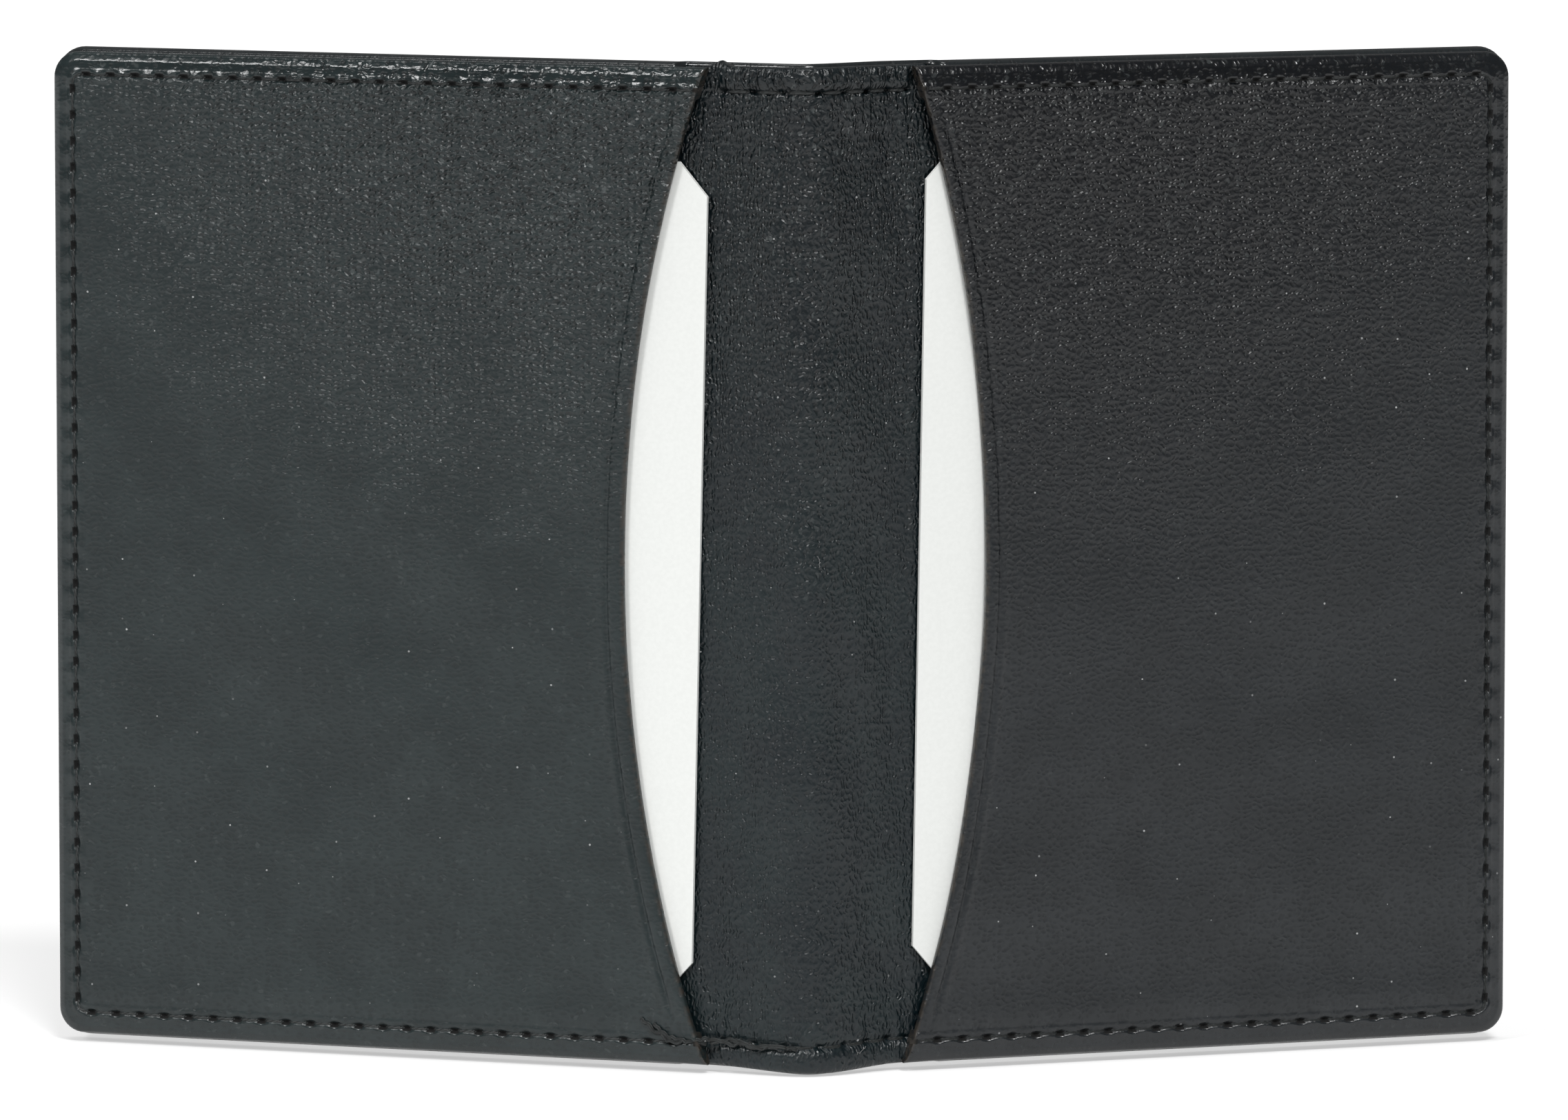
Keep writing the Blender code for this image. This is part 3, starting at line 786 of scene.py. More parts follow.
def strand_mesh(name, centres, ups, radius=THREAD_RADIUS):
    """Tubes through centres[strand, step], with ups the direction that each stands out in."""
    strands, steps = centres.shape[:2]
    heading = np.gradient(centres, axis=1)
    heading /= np.linalg.norm(heading, axis=2)[..., None]
    across = np.cross(heading, ups)
    across /= np.linalg.norm(across, axis=2)[..., None]
    up = np.cross(across, heading)
    angle = np.arange(THREAD_SIDES) / THREAD_SIDES * math.tau
    rise, spread = np.cos(angle)[:, None], THREAD_SPREAD * np.sin(angle)[:, None]
    rings = centres[:, :, None, :] + radius * (rise * up[:, :, None, :] + spread * across[:, :, None, :])
    faces = []
    for strand in range(strands):
        base = strand * steps * THREAD_SIDES
        for step in range(steps - 1):
            low = base + step * THREAD_SIDES
            for k in range(THREAD_SIDES):
                n = (k + 1) % THREAD_SIDES
                faces.append((low + k, low + n, low + THREAD_SIDES + n, low + THREAD_SIDES + k))
        faces.append(tuple(base + k for k in range(THREAD_SIDES)))
        faces.append(tuple(base + (steps - 1) * THREAD_SIDES + k for k in range(THREAD_SIDES)))
    mesh = bpy.data.meshes.new(name)
    mesh.from_pydata((rings.reshape(-1, 3) * MM).tolist(), [], faces)
    number = np.arange(len(mesh.vertices))
    length = number // THREAD_SIDES % steps / (steps - 1)
    lay_map(mesh, "strand", length, number % THREAD_SIDES / THREAD_SIDES)
    print(f"{name}: {strands} strands")
    return as_piece(name, mesh)


print(f"thread {2 * THREAD_RADIUS} mm, {THREAD_SIDES} sides")

# %% [markdown]
# ## Stitches of the pockets
# The inner strand runs from hole to hole on the pocket. On the back the same seam shows its other
# thread, two stitches shorter at each end, where it goes under the fold.

# %% Stitches of the pockets
def strands_on(name, place, first, last, level):
    """place(run) gives along and height at a hole number, and level the lift of the leather there."""
    steps = np.array([t for t, _ in STRAND_SHAPE])
    dips = np.array([dip for _, dip in STRAND_SHAPE])
    run = first + np.arange(last - first)[:, None] + steps[None, :]
    along, height = place(run)
    outward = 1.0 if level > 0 else -1.0
    lift = level + outward * (dips[None, :] - 0.04) + 0 * run
    centres = world(along, lift, height - sag(along, height))
    ups = outward * (world(along, lift + 0.5, height) - world(along, lift - 0.5, height))
    return strand_mesh(name, centres, ups)


stitching = {}
for side, outline in pocket_outlines.items():
    def place(run, outline=outline):
        q, z = outline.at(run * outline.pitch, outline.stitch)
        return SIGNS[outline.side] * q, z

    inner = strands_on("stitches_" + side, place, 0, outline.stitches, POCKET_FRONT)
    outer = strands_on("stitches_back_" + side, place, 2, outline.stitches - 2, COVER_BACK)
    stitching[side] = (inner, outer)

# %% [markdown]
# The stitches across the fold sit in the corner under each band. They are made in two halves, like the
# leather that they hold.

# %% Stitches of the fold
SPLIT = {"left": (0, 2), "right": (2, len(FOLD_HOLES) - 1)}
fold_stitches = {}
for side in SIGNS:
    fold_stitches[side] = []
    for label, height in FOLD_LINES.items():
        def place(run, height=height):
            return np.interp(run, np.arange(len(FOLD_HOLES)), FOLD_HOLES), height + 0 * run

        name = f"fold_stitches_{label}_{side}"
        fold_stitches[side].append(strands_on(name, place, *SPLIT[side], STRIP_FRONT + 0.04))

# %% [markdown]
# ## Loose ends
# The seam was begun and ended at the foot of the fold, where a few back stitches lie over each other
# and their twisted tails were left. A few stray fibres cling to the leather. Each is a thin tube along
# a wandering line, drawn on the leather's own surface so that it follows the fold.

# %% Loose threads and fibres
WANDER_STEPS = 40
TAIL_RADIUS = 0.19
FIBRE_RADIUS = 0.02


def wandering(name, lines, radius):
    """lines: (points of (along, height, lift), wander, seed). All become one mesh of thin tubes."""
    centres, ups = [], []
    for points, wander, seed in lines:
        points = np.array(points, float)
        t = np.linspace(0, len(points) - 1, WANDER_STEPS)
        t = t + 0.12 * np.sin(math.tau * t) * (len(points) > 2)
        along, height, lift = (np.interp(t, np.arange(len(points)), points[:, k]) for k in range(3))
        ends = smooth(np.minimum(t, t[-1] - t) / 0.3)
        along = along + wander * ends * waves(t, 0 * t, 0.9, seed)
        height = height + wander * ends * waves(t, 0 * t, 0.7, seed + 1)
        lift = lift + 0.5 * wander * ends * np.abs(waves(t, 0 * t, 0.6, seed + 2))
        centres.append(world(along, lift, height))
        ups.append(world(along, lift + 0.5, height) - world(along, lift - 0.5, height))
    return strand_mesh(name, np.array(centres), np.array(ups), radius)


ON_POCKET = POCKET_FRONT + 0.22
ON_STRIP = STRIP_FRONT + BAND_LIFT + 0.2
TAILS = [
    ([(-14.4, 5.1, ON_POCKET), (-12.8, 3.9, ON_POCKET),
      (-10.6, 3.1, ON_POCKET), (-8.9, 2.8, ON_POCKET - 0.3)], 0.16, 71),
    ([(-13.0, 4.6, ON_POCKET), (-11.4, 2.9, ON_POCKET),
      (-9.4, 2.9, ON_POCKET), (-7.6, 2.6, ON_STRIP + 0.4)], 0.14, 74),
    ([(-8.8, 3.1, ON_POCKET - 0.4), (-7.0, 3.0, ON_STRIP + 0.3),
      (-4.6, 2.7, ON_STRIP), (-2.6, 2.9, ON_STRIP)], 0.16, 77),
    ([(-7.2, 2.6, ON_STRIP + 0.2), (-5.2, 3.2, ON_STRIP),
      (-2.6, 2.6, ON_STRIP + 0.1), (0.2, 2.5, ON_STRIP)], 0.16, 80),
    ([(-4.4, 3.1, ON_STRIP), (-2.2, 2.4, ON_STRIP + 0.1),
      (0.4, 2.7, ON_STRIP), (1.8, 2.3, ON_STRIP - 0.3)], 0.14, 83),
]
tails = wandering("thread_tails", TAILS, TAIL_RADIUS)
STRIP_FACE = STRIP_FRONT + 0.1
FIBRES = [
    ([(7.5, 1.5, STRIP_FACE + 0.45), (8.0, 1.9, STRIP_FACE + 0.5), (8.6, 2.3, STRIP_FACE + 0.45)], 0.1, 94),
    ([(3.4, 54.0, STRIP_FACE), (3.7, 53.4, STRIP_FACE), (3.6, 52.8, STRIP_FACE)], 0.1, 103),
]
fibres = wandering("fibres", FIBRES, FIBRE_RADIUS)

# %% [markdown]
# ## Node helpers
# Materials are built from nodes. A small helper adds a node, sets its choices and fills its inputs
# from numbers or from other nodes' outputs, so that each effect reads as a recipe.

# %% Node helpers
def fill(tree, node, inputs):
    """Sets a node's inputs, by name or by number as i0, from numbers or from other nodes' outputs."""
    for key, value in inputs.items():
        by_number = key[0] == "i" and key[1:].isdigit()
        socket = node.inputs[int(key[1:]) if by_number else key.replace("_", " ")]
        if isinstance(value, bpy.types.NodeSocket):
            tree.links.new(value, socket)
        else:
            socket.default_value = value
    return node


def add(tree, kind, settings=None, **inputs):
    """A new node of this kind, with its choices and inputs set."""
    node = tree.nodes.new("ShaderNode" + kind)
    for key, value in (settings or {}).items():
        setattr(node, key, value)
    return fill(tree, node, inputs)


def noise(tree, settings=None, **inputs):
    """The value of a noise texture, about 0.5 in the middle."""
    return add(tree, "TexNoise", settings, **inputs).outputs["Fac"]


def calc(tree, operation, *values):
    """A Math node, with numbers or sockets as its inputs."""
    inputs = {f"i{n}": value for n, value in enumerate(values)}
    return add(tree, "Math", {"operation": operation}, **inputs).outputs[0]


def times(tree, first, second):
    """The product of two values."""
    return calc(tree, "MULTIPLY", first, second)


def line_of(tree, value, slope, start):
    """start where the value is 0, and slope more where it is 1."""
    return calc(tree, "MULTIPLY_ADD", value, slope, start)


def span_of(tree, value, low, high, to_low=0.0, to_high=1.0):
    """A smooth step from low to high, which may also run downwards."""
    node = add(
        tree, "MapRange", {"interpolation_type": "SMOOTHSTEP"},
        Value=value, From_Min=low, From_Max=high, To_Min=to_low, To_Max=to_high,
    )
    return node.outputs["Result"]


def mixed(tree, factor, first, second):
    """The first colour where the factor is 0, the second where it is 1."""
    node = add(tree, "Mix", {"data_type": "RGBA"}, i0=factor, i6=first, i7=second)
    return node.outputs[2]


def relief(tree, height, strength, distance):
    """A normal that shows this height. distance is how deep it is, in metres."""
    return add(tree, "Bump", Strength=strength, Distance=distance, Height=height).outputs[0]


print("node helpers ready")

# %% [markdown]
# ## Group helpers
# Pores, needle holes, wear and dust show on more than one leather. Each is built once as a group with
# named sockets, and every material that needs it places the group with its own values.

# %% Group helpers
def new_group(name, inputs, *outputs):
    """A node group with named sockets. Each input is (name, type, default), each output a value."""
    tree = bpy.data.node_groups.new(name, "ShaderNodeTree")
    for label, kind, default in inputs:
        socket = tree.interface.new_socket(name=label, in_out="INPUT", socket_type="NodeSocket" + kind)
        if default is not None:
            socket.default_value = default
    for label in outputs:
        tree.interface.new_socket(name=label, in_out="OUTPUT", socket_type="NodeSocketFloat")
    source = tree.nodes.new("NodeGroupInput")
    target = tree.nodes.new("NodeGroupOutput")
    return tree, source.outputs, target.inputs


def use_group(tree, group, **inputs):
    """A group placed in a tree, with this tree's own values."""
    return add(tree, "Group", {"node_tree": group}, **inputs).outputs


print("group helpers ready")

# %% [markdown]
# ## Leather grain
# The hide's hair left small pores, set at nearly even distances, with softly uneven leather between
# them. Voronoi cells place the pores: the distance to a cell's middle shapes each pit. Stretching the
# cells gives the drawn-out grain of leather that has been pulled. The lower rim of a pit faces up and
# catches the light, which gives the leather its fine glints, so the pits are real relief here. On top of
# that, some pore rims get a mask for a pale painted highlight.

# %% Grain group
FLAT = {"noise_dimensions": "2D"}
FLAT_CELLS = {"voronoi_dimensions": "2D"}


def grain_group():
    """Cell is the pores' spacing in mm, and Pore their radius as a share of it. Pit is 1 deep in a pore,
    Painted Glint is 1 where a pale painted highlight goes on a pore's rim, and Mottle is the slow drift of
    the dye."""
    sockets = [("Place", "Vector", None), ("Cell", "Float", 0.6), ("Pore", "Float", 0.35)]
    sockets += [("Stretch Along", "Float", 1.0), ("Stretch Up", "Float", 1.0), ("Wrinkle", "Float", 0.5)]
    tree, into, out = new_group("leather_grain", sockets, "Height", "Pit", "Painted Glint", "Mottle")
    wobble = add(tree, "TexNoise", FLAT, Vector=into["Place"], Scale=0.5, Detail=3.0).outputs["Color"]
    shifted = {"operation": "MULTIPLY_ADD"}
    shift = add(tree, "VectorMath", shifted, i0=wobble, i1=(1.0,) * 3, i2=into["Place"])
    stretch = add(tree, "CombineXYZ", X=into["Stretch Along"], Y=into["Stretch Up"], Z=1.0)
    divided = add(tree, "VectorMath", {"operation": "DIVIDE"}, i0=shift.outputs[0], i1=stretch.outputs[0])
    squeezed = divided.outputs[0]
    rate = calc(tree, "DIVIDE", 1.0, into["Cell"])
    cells = add(tree, "TexVoronoi", FLAT_CELLS, Vector=squeezed, Scale=rate, Randomness=0.8)
    tone = add(tree, "SeparateColor", Color=cells.outputs["Color"])
    across = calc(tree, "DIVIDE", cells.outputs["Distance"], into["Pore"])
    deep = line_of(tree, tone.outputs[0], 0.8, 0.2)
    pit = times(tree, span_of(tree, across, 1.0, 0.15), deep)
    fine = noise(tree, FLAT, Vector=squeezed, Scale=times(tree, rate, 1.5), Detail=3.0)
    folds = noise(tree, FLAT, Vector=squeezed, Scale=times(tree, rate, 0.4), Detail=1.0)
    height = line_of(tree, fine, 0.35, calc(tree, "SUBTRACT", 1.0, pit))
    height = line_of(tree, folds, into["Wrinkle"], height)
    chosen = span_of(tree, tone.outputs[1], 0.75, 1.0)
    # painted highlight: the mask for pale glints on the rims of some pores
    painted_glint_spot = times(tree, span_of(tree, across, 0.9, 0.5), span_of(tree, fine, 0.42, 0.6))
    patches = noise(tree, FLAT, Vector=into["Place"], Scale=0.11, Detail=4.0, Roughness=0.6)
    tree.links.new(height, out["Height"])
    tree.links.new(pit, out["Pit"])
    tree.links.new(times(tree, painted_glint_spot, chosen), out["Painted Glint"])
    tree.links.new(patches, out["Mottle"])
    return tree


GRAIN = grain_group()
print("group:", GRAIN.name)

# %% [markdown]
# ## Needle holes, worn edges and dust
# A needle hole is a small slot on the line of stitches, filled with a near-black painted shade, and the
# leather between the stitches and the edge is pressed smooth. Along the raw cut of a mouth the black
# finish has rubbed to brown. Both follow the maps that came with the mesh, so they lie where the shape has
# its holes and edges. Dust is a sparse scatter of pale specks, each in a cell of its own.

# %% Hole, wear and dust groups
SPECK_SIZE = 0.028


def hole_group():
    """Mask is 1 in a needle hole, and Rim is 1 between the inset called Rim and the edge."""
    sockets = [("Stitch Map", "Vector", None), ("Line", "Float", STITCH_INSET), ("Rim", "Float", 2.2)]
    tree, into, out = new_group("needle_holes", sockets, "Mask", "Rim")
    spot = add(tree, "SeparateXYZ", Vector=into["Stitch Map"])
    phase = calc(tree, "FRACT", calc(tree, "ADD", spot.outputs[0], 0.5))
    phase = calc(tree, "ABSOLUTE", calc(tree, "SUBTRACT", phase, 0.5))
    off = calc(tree, "ABSOLUTE", calc(tree, "SUBTRACT", spot.outputs[1], into["Line"]))
    slot = times(tree, span_of(tree, phase, 0.21, 0.15), span_of(tree, off, 0.32, 0.20))
    inside = calc(tree, "SUBTRACT", spot.outputs[1], into["Rim"])
    tree.links.new(slot, out["Mask"])
    tree.links.new(span_of(tree, inside, 0.2, -0.2), out["Rim"])
    return tree


def wear_group():
    """Mask is 1 in worn patches that are nearer to the edge than the width."""
    sockets = [("Distance", "Float", 1.0), ("Width", "Float", 0.3), ("Place", "Vector", None)]
    tree, into, out = new_group("edge_wear", sockets, "Mask")
    breakup = noise(tree, Vector=into["Place"], Scale=1.3, Detail=5.0)
    near = span_of(tree, calc(tree, "DIVIDE", into["Distance"], into["Width"]), 1.0, 0.0)
    tree.links.new(times(tree, near, span_of(tree, breakup, 0.35, 0.6)), out["Mask"])
    return tree


def dust_group():
    """Mask is above 0 on a speck. Not every cell has one, and they differ in size."""
    tree, into, out = new_group("dust", [("Place", "Vector", None), ("Spacing", "Float", 4.0)], "Mask")
    rate = calc(tree, "DIVIDE", 1.0, into["Spacing"])
    cells = add(tree, "TexVoronoi", FLAT_CELLS, Vector=into["Place"], Scale=rate)
    size = add(tree, "SeparateColor", Color=cells.outputs["Color"])
    radius = span_of(tree, size.outputs[0], 0.55, 1.0, 0.0, SPECK_SIZE)
    near = calc(tree, "LESS_THAN", cells.outputs["Distance"], radius)
    tree.links.new(times(tree, near, size.outputs[1]), out["Mask"])
    return tree


HOLES = hole_group()
DUST = dust_group()
WEAR = wear_group()
print("groups:", HOLES.name, DUST.name, WEAR.name)

# %% [markdown]
# ## Leather recipe
# One recipe serves every leather in the holder, with its own tint, cell size and stretch. The dye is
# black with a faint cold tint that drifts between two values. Its pores are darkened by a painted shade,
# and some of their rims get pale painted highlights. The finish is satin, glossier on the high leather
# than in the pores. Towards a spot near its upper middle, a panel's grain is pulled open: the relief is
# deeper there, the painted highlights are stronger, and a painted shade darkens the colour.

# %% Leather recipe


PAINTED_HOLE_SHADE = (0.001, 0.001, 0.001, 1)
PAINTED_SHADE_BLACK = (0.0, 0.0006, 0.002, 1)
PAINTED_GLINT_GREY = (0.20, 0.225, 0.225, 1)
DUST_GREY = (0.45, 0.46, 0.46, 1)
WORN_BROWN = (0.032, 0.027, 0.022, 1)
PORE_SHADE = 0.2
SATIN_LOW, SATIN_HIGH = 0.46, 0.32


def new_material(name):
    """A material, its tree and its one shader."""
    material = bpy.data.materials.new(name)
    material.use_nodes = True
    tree = material.node_tree
    return material, tree, tree.nodes["Principled BSDF"]


def map_of(tree, name):
    """The pair of numbers that a mesh carries under this name."""
    return add(tree, "UVMap", {"uv_map": name}).outputs["UV"]


def leather(
    name, dark, light, cell, pore, stretch, depth, painted_glints, opened, line, rim, wear, wrinkle, painted_shade
):
    """dark and light are the dye's tints, and cell, pore, stretch and wrinkle go to the grain. opened is
    the spot (along, height, radius) where the grain is pulled open, with depth and painted_glints (the
    strength of the pale painted highlights) each given as (elsewhere, there), and painted_shade as how
    much darker a painted shade makes it there. line and rim are the insets of the stitches and of the
    pressed rim, and wear is the width of the worn edge."""
    material, tree, shader = new_material(name)
    place = add(tree, "Attribute", {"attribute_name": "flat"}).outputs["Vector"]
    grain = use_group(
        tree, GRAIN, Place=place, Cell=cell, Pore=pore,
        Stretch_Along=stretch[0], Stretch_Up=stretch[1], Wrinkle=wrinkle,
    )
    middle = (opened[0], opened[1], 2.0)
    spot = add(tree, "VectorMath", {"operation": "DISTANCE"}, i0=place, i1=middle).outputs["Value"]
    far = line_of(tree, grain["Mottle"], -0.4, calc(tree, "DIVIDE", spot, opened[2]))
    pulled = span_of(tree, far, 0.8, -0.1)

    tint = mixed(tree, span_of(tree, grain["Mottle"], 0.36, 0.64), (*dark, 1), (*light, 1))
    # painted shade: the colour darkens towards the pulled-open spot near the upper middle of a panel
    tint = mixed(tree, times(tree, pulled, painted_shade), tint, PAINTED_SHADE_BLACK)
    # painted shade: the pores are darkened towards black, more so near the pulled-open spot
    shade = times(tree, grain["Pit"], line_of(tree, pulled, 0.5, 0.4))
    colour = mixed(tree, shade, tint, (*(PORE_SHADE * c for c in dark), 1))
    # painted highlight: pale glints on chosen pore rims, stronger towards the pulled-open spot
    strength = line_of(tree, pulled, painted_glints[1] - painted_glints[0], painted_glints[0])
    colour = mixed(tree, times(tree, grain["Painted Glint"], strength), colour, PAINTED_GLINT_GREY)
    dust = use_group(tree, DUST, Place=place)
    colour = mixed(tree, dust["Mask"], colour, DUST_GREY)

    rough = span_of(tree, grain["Height"], 0.5, 1.5, SATIN_LOW, SATIN_HIGH)
    rough = times(tree, rough, line_of(tree, pulled, -0.15, 1.0))
    height = times(tree, grain["Height"], line_of(tree, pulled, depth[1] - depth[0], depth[0]))
    holes = use_group(tree, HOLES, Stitch_Map=map_of(tree, "stitch"), Line=line, Rim=rim)
    # painted shade: each needle hole is coloured near black
    colour = mixed(tree, holes["Mask"], colour, PAINTED_HOLE_SHADE)
    rough = times(tree, rough, line_of(tree, holes["Rim"], -0.36, 1.0))
    rough = calc(tree, "MAXIMUM", rough, times(tree, holes["Mask"], 0.95))
    height = times(tree, height, line_of(tree, holes["Rim"], -0.8, 1.0))
    if wear:
        inset = add(tree, "SeparateXYZ", Vector=map_of(tree, "mouth")).outputs[1]
        worn = use_group(tree, WEAR, Distance=inset, Width=wear, Place=place)
        colour = mixed(tree, worn["Mask"], colour, WORN_BROWN)
    fill(tree, shader, {
        "Base Color": colour, "Roughness": rough, "Normal": relief(tree, height, 1.0, MM),
        "Specular IOR Level": 0.5,
    })
    return material


print("recipe: leather, with a worn edge where it is cut")

# %% [markdown]
# ## The four leathers
# The left pocket looks a little greener and paler than the right one, with grain drawn out along the
# panel. The strip in the fold is darker and its grain is drawn upright, because the leather is gathered
# there. The outer leather is the same hide, seen from its calmer side.

# %% Four leathers
LEFT_LEATHER = leather(
    "left_pocket_leather", dark=(0.0105, 0.0178, 0.0190), light=(0.0150, 0.0238, 0.0250),
    cell=0.60, pore=0.62, stretch=(1.2, 0.85), depth=(0.030, 0.28), painted_glints=(0.10, 0.30),
    opened=(-30, 108, 62), line=STITCH_INSET, rim=2.1, wear=0.5, wrinkle=0.3, painted_shade=0.1,
)
RIGHT_LEATHER = leather(
    "right_pocket_leather", dark=(0.0070, 0.0095, 0.0115), light=(0.0110, 0.0140, 0.0165),
    cell=0.58, pore=0.64, stretch=(0.95, 1.0), depth=(0.030, 0.17), painted_glints=(0.05, 0.15),
    opened=(40, 108, 75), line=STITCH_INSET, rim=2.1, wear=0.4, wrinkle=0.3, painted_shade=0.9,
)
STRIP_LEATHER = leather(
    "fold_leather", dark=(0.0012, 0.0060, 0.0085), light=(0.0040, 0.0110, 0.0130),
    cell=0.50, pore=0.58, stretch=(0.8, 1.4), depth=(0.085, 0.16), painted_glints=(0.08, 0.30),
    opened=(2, 100, 60), line=-9.0, rim=0.3, wear=0.0, wrinkle=0.25, painted_shade=0.4,
)
SKIN_LEATHER = leather(
    "outer_leather", dark=(0.009, 0.012, 0.0135), light=(0.0125, 0.016, 0.0175),
    cell=0.64, pore=0.45, stretch=(1.1, 1.0), depth=(0.06, 0.10), painted_glints=(0.05, 0.1),
    opened=(0, 60, 90), line=STITCH_INSET + POCKET_SET_BACK, rim=0.9, wear=0.0, wrinkle=0.6, painted_shade=0.0,
)
print("leathers:", *(each.name for each in (LEFT_LEATHER, RIGHT_LEATHER, STRIP_LEATHER, SKIN_LEATHER)))

# %% [markdown]
# ## Raw edge, thread, board and card
# The mouth's cut edge shows the brown of the undyed hide through worn black. Thread is twisted from
# three strands, which a slanted wave shows in relief and as a painted shade in the grooves between the
# strands. The cards are smooth white board, just off pure white, and the board in the panels is grey.
# The stray fibres are pale fluff.

# %% Other materials
def raw_edge():
    material, tree, shader = new_material("raw_cut_edge")
    place = add(tree, "Attribute", {"attribute_name": "flat"}).outputs["Vector"]
    hair = noise(tree, Vector=place, Scale=3.5, Detail=5.0)
    worn, hide = (0.020, 0.015, 0.011, 1), (0.16, 0.115, 0.075, 1)
    colour = mixed(tree, span_of(tree, hair, 0.35, 0.65), worn, hide)
    normal = relief(tree, hair, 1.0, 0.08 * MM)
    fill(tree, shader, {"Base Color": colour, "Normal": normal, "Roughness": 0.85})
    return material


def thread():
    material, tree, shader = new_material("black_thread")
    spot = add(tree, "SeparateXYZ", Vector=map_of(tree, "strand"))
    turns, strands = times(tree, spot.outputs[0], 5.0), times(tree, spot.outputs[1], 3.0)
    slant = times(tree, calc(tree, "ADD", turns, strands), math.pi)
    ply = calc(tree, "ABSOLUTE", calc(tree, "SINE", slant))
    # painted shade: the thread is darker in the grooves between its strands, where the relief is low
    colour = mixed(tree, ply, (0.006, 0.007, 0.007, 1), (0.024, 0.028, 0.028, 1))
    normal = relief(tree, ply, 1.0, 0.05 * MM)
    fill(tree, shader, {"Base Color": colour, "Normal": normal, "Roughness": 0.6})
    return material


def paper(name, light, dark, roughness):
    material, tree, shader = new_material(name)
    place = add(tree, "TexCoord").outputs["Object"]
    pulp = noise(tree, Vector=place, Scale=2500.0, Detail=4.0)
    tint = mixed(tree, span_of(tree, pulp, 0.3, 0.7), (*dark, 1), (*light, 1))
    normal = relief(tree, pulp, 0.25, 0.02 * MM)
    rough = span_of(tree, pulp, 0.3, 0.7, roughness, roughness + 0.12)
    fill(tree, shader, {"Base Color": tint, "Normal": normal, "Roughness": rough})
    return material


def fluff():
    material, tree, shader = new_material("pale_fibre")
    place = add(tree, "TexCoord").outputs["Object"]
    cloud = noise(tree, Vector=place, Scale=900.0)
    colour = mixed(tree, cloud, (0.14, 0.14, 0.14, 1), (0.32, 0.32, 0.32, 1))
    fill(tree, shader, {"Base Color": colour, "Roughness": 0.8})
    return material


RAW_EDGE = raw_edge()
THREAD = thread()
FIBRE = fluff()
CARD = paper("white_card", light=(0.91, 0.925, 0.90), dark=(0.88, 0.895, 0.87), roughness=0.5)
BOARD = paper("grey_board", light=(0.36, 0.33, 0.28), dark=(0.27, 0.24, 0.20), roughness=0.8)
print("others:", *(each.name for each in (RAW_EDGE, THREAD, FIBRE, CARD, BOARD)))

# %% [markdown]
# ## Give every piece its finish, and the stiff ones their panel
# A piece that stays stiff rides on a panel. The halves of the outer leather, the strip and the fold's
# stitches cross a hinge. Where their blend from a little outside the fold line to the middle would start
# and end is worked out, but they are not blended or given a body. Each drawn piece hides the solids
# that it replaces.

# %% Dress and attach
BLEND_START = {"left": 2.4, "right": 4.0}


def dress(piece, *materials):
    """Gives a piece its materials, in the order of its face slots."""
    piece.data.materials.clear()
    for material in materials:
        piece.data.materials.append(material)


def bend(piece, side):
    """Works out where a blend from the panel to the middle of the fold would start and end, but only bakes
    the piece's placement into its mesh.
    """
    start = world(np.array(SIGNS[side] * (BLEND_START[side] + OFFSETS[side])), 0.0, 0.0) * MM
    end = world(np.array(0.0), 0.0, 0.0) * MM
    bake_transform(piece)


POCKET_LEATHERS = {"left": LEFT_LEATHER, "right": RIGHT_LEATHER}
for side in SIGNS:
    panel = side + "_panel"
    dress(skins[side], SKIN_LEATHER)
    bend(skins[side], side)
    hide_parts("outer_cover_" + side, "outer_cover_spine")
    dress(linings[side], STRIP_LEATHER)
    bend(linings[side], side)
    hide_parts("inner_lining_" + side, "inner_strip")
    dress(pockets[side], POCKET_LEATHERS[side], RAW_EDGE)
    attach(pockets[side], panel)
    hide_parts("pocket_panel_" + side)
    for piece, node in zip(stitching[side], ("stitching_" + side, "stitching_back_" + side)):
        dress(piece, THREAD)
        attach(piece, panel)
        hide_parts(node)
    for piece, label in zip(fold_stitches[side], FOLD_LINES):
        dress(piece, THREAD)
        bend(piece, side)
        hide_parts("stitching_spine_" + label)
    dress(frame["nodes"]["card_insert_" + side], CARD)
    dress(frame["nodes"]["stiffener_" + side], BOARD)
dress(tails, THREAD)
bend(tails, "left")
dress(fibres, FIBRE)
bend(fibres, "right")

# %% [markdown]
# ## Camera
# The photograph was taken from well back with a long lens, a few degrees above level, so the two panels
# hardly taper. Distance, rise and scale were fitted to the outline of the holder.

# %% Camera
VIEW_DISTANCE = 1350.0
VIEW_RISE = math.radians(6.47)
AIM = Vector((0.265, FOLD_Y, 53.26))
PIXELS_PER_MM = 13.958
PHOTO_WIDTH = 2274
SENSOR_WIDTH = 36.0
camera = bpy.data.objects.new("camera", bpy.data.cameras.new("camera"))
bpy.context.scene.collection.objects.link(camera)
camera.data.sensor_width = SENSOR_WIDTH
camera.data.lens = SENSOR_WIDTH * PIXELS_PER_MM * VIEW_DISTANCE / PHOTO_WIDTH
camera.data.clip_start = 0.05
back = Vector((0.0, -math.cos(VIEW_RISE), math.sin(VIEW_RISE)))
camera.location = (AIM + back * VIEW_DISTANCE) * MM
camera.rotation_euler = back.to_track_quat("Z", "Y").to_euler()
bpy.context.scene.camera = camera
print(f"lens {camera.data.lens:.0f} mm")

# %% [markdown]
# ## Floor
# The holder stands on a seamless white table. The floor shows white to the camera by its own glow, and
# still takes the shadow. It ends a short way in front, so that the lower leather reflects it and the
# top of the holder doesn't: that gives the panels their fall from light to dark.

# %% Floor
FLOOR_SIZE = 6.0
FLOOR_FRONT = 0.7
FLOOR_GREY = (0.64, 0.64, 0.64, 1)
FLOOR_GLOW = 0.48


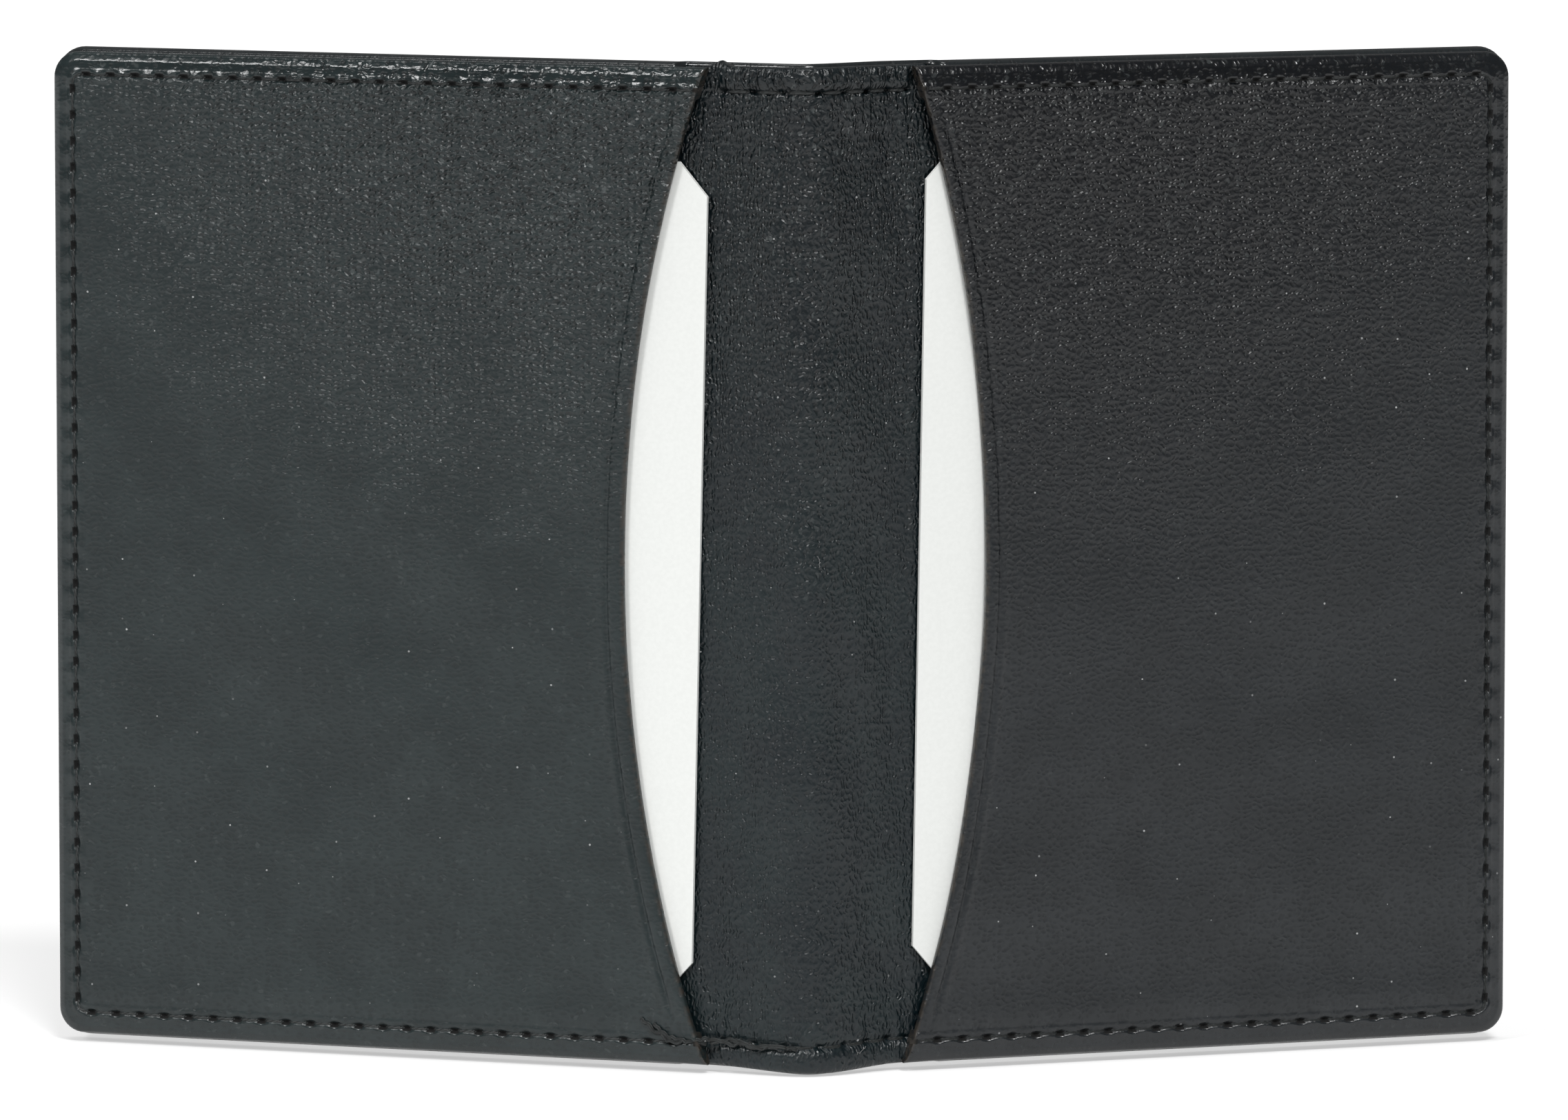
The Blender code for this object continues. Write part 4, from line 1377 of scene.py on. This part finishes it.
def floor_material():
    """A dull floor that glows only where the camera, a gloss or a glass looks at it."""
    material, tree, shader = new_material("white_floor")
    path = add(tree, "LightPath")
    seen = calc(tree, "MAXIMUM", path.outputs["Is Camera Ray"], path.outputs["Is Glossy Ray"])
    seen = calc(tree, "MAXIMUM", seen, path.outputs["Is Transmission Ray"])
    fill(tree, shader, {
        "Base Color": FLOOR_GREY, "Roughness": 1.0, "Specular IOR Level": 0.0,
        "Emission Color": (1, 1, 1, 1), "Emission Strength": times(tree, seen, FLOOR_GLOW),
    })
    return material


front, far = -FLOOR_FRONT, FLOOR_SIZE
corners = [(-FLOOR_SIZE, front, 0), (FLOOR_SIZE, front, 0), (FLOOR_SIZE, far, 0), (-FLOOR_SIZE, far, 0)]
floor_mesh = bpy.data.meshes.new("floor")
floor_mesh.from_pydata(corners, [], [(0, 1, 2, 3)])
floor_mesh.materials.append(floor_material())
floor = bpy.data.objects.new("floor", floor_mesh)
floor.location.z = -SAG * MM
bpy.context.scene.collection.objects.link(floor)
print("floor", -SAG, "mm below the solids")

# %% [markdown]
# ## Light
# The room is white but dim, so that black leather stays black. A broad key light stands above and in
# front, a little to the right. One from the upper left lifts the left panel and draws the bright
# streaks along its rims, and one from straight above catches the upper rims and the cards' edges.

# %% Light
AMBIENT = 0.20
world_light = bpy.data.worlds.new("studio")
bpy.context.scene.world = world_light
world_light.use_nodes = True
tree = world_light.node_tree
path = add(tree, "LightPath")
seen = calc(tree, "MAXIMUM", path.outputs["Is Camera Ray"], path.outputs["Is Transmission Ray"])
glow = line_of(tree, seen, 1.0 - AMBIENT, AMBIENT)
fill(tree, tree.nodes["Background"], {"Color": (1, 1, 1, 1), "Strength": glow})


def broad_light(name, toward, strength, spread):
    """A far, soft light. toward points from the object to the light, and spread is in degrees."""
    lamp = bpy.data.lights.new(name, "SUN")
    lamp.energy = strength
    lamp.angle = math.radians(spread)
    obj = bpy.data.objects.new(name, lamp)
    obj.rotation_euler = Vector(toward).to_track_quat("Z", "Y").to_euler()
    bpy.context.scene.collection.objects.link(obj)


broad_light("key", toward=(0.18, -0.66, 0.73), strength=1.90, spread=16.0)
broad_light("side", toward=(-0.56, -0.60, 0.57), strength=1.04, spread=14.0)
broad_light("top", toward=(-0.10, 0.05, 0.99), strength=0.7, spread=30.0)

# %% [markdown]
# ## Finish
# The standard view keeps each colour as it is written.

# %% Finish
bpy.context.scene.view_settings.view_transform = "Standard"
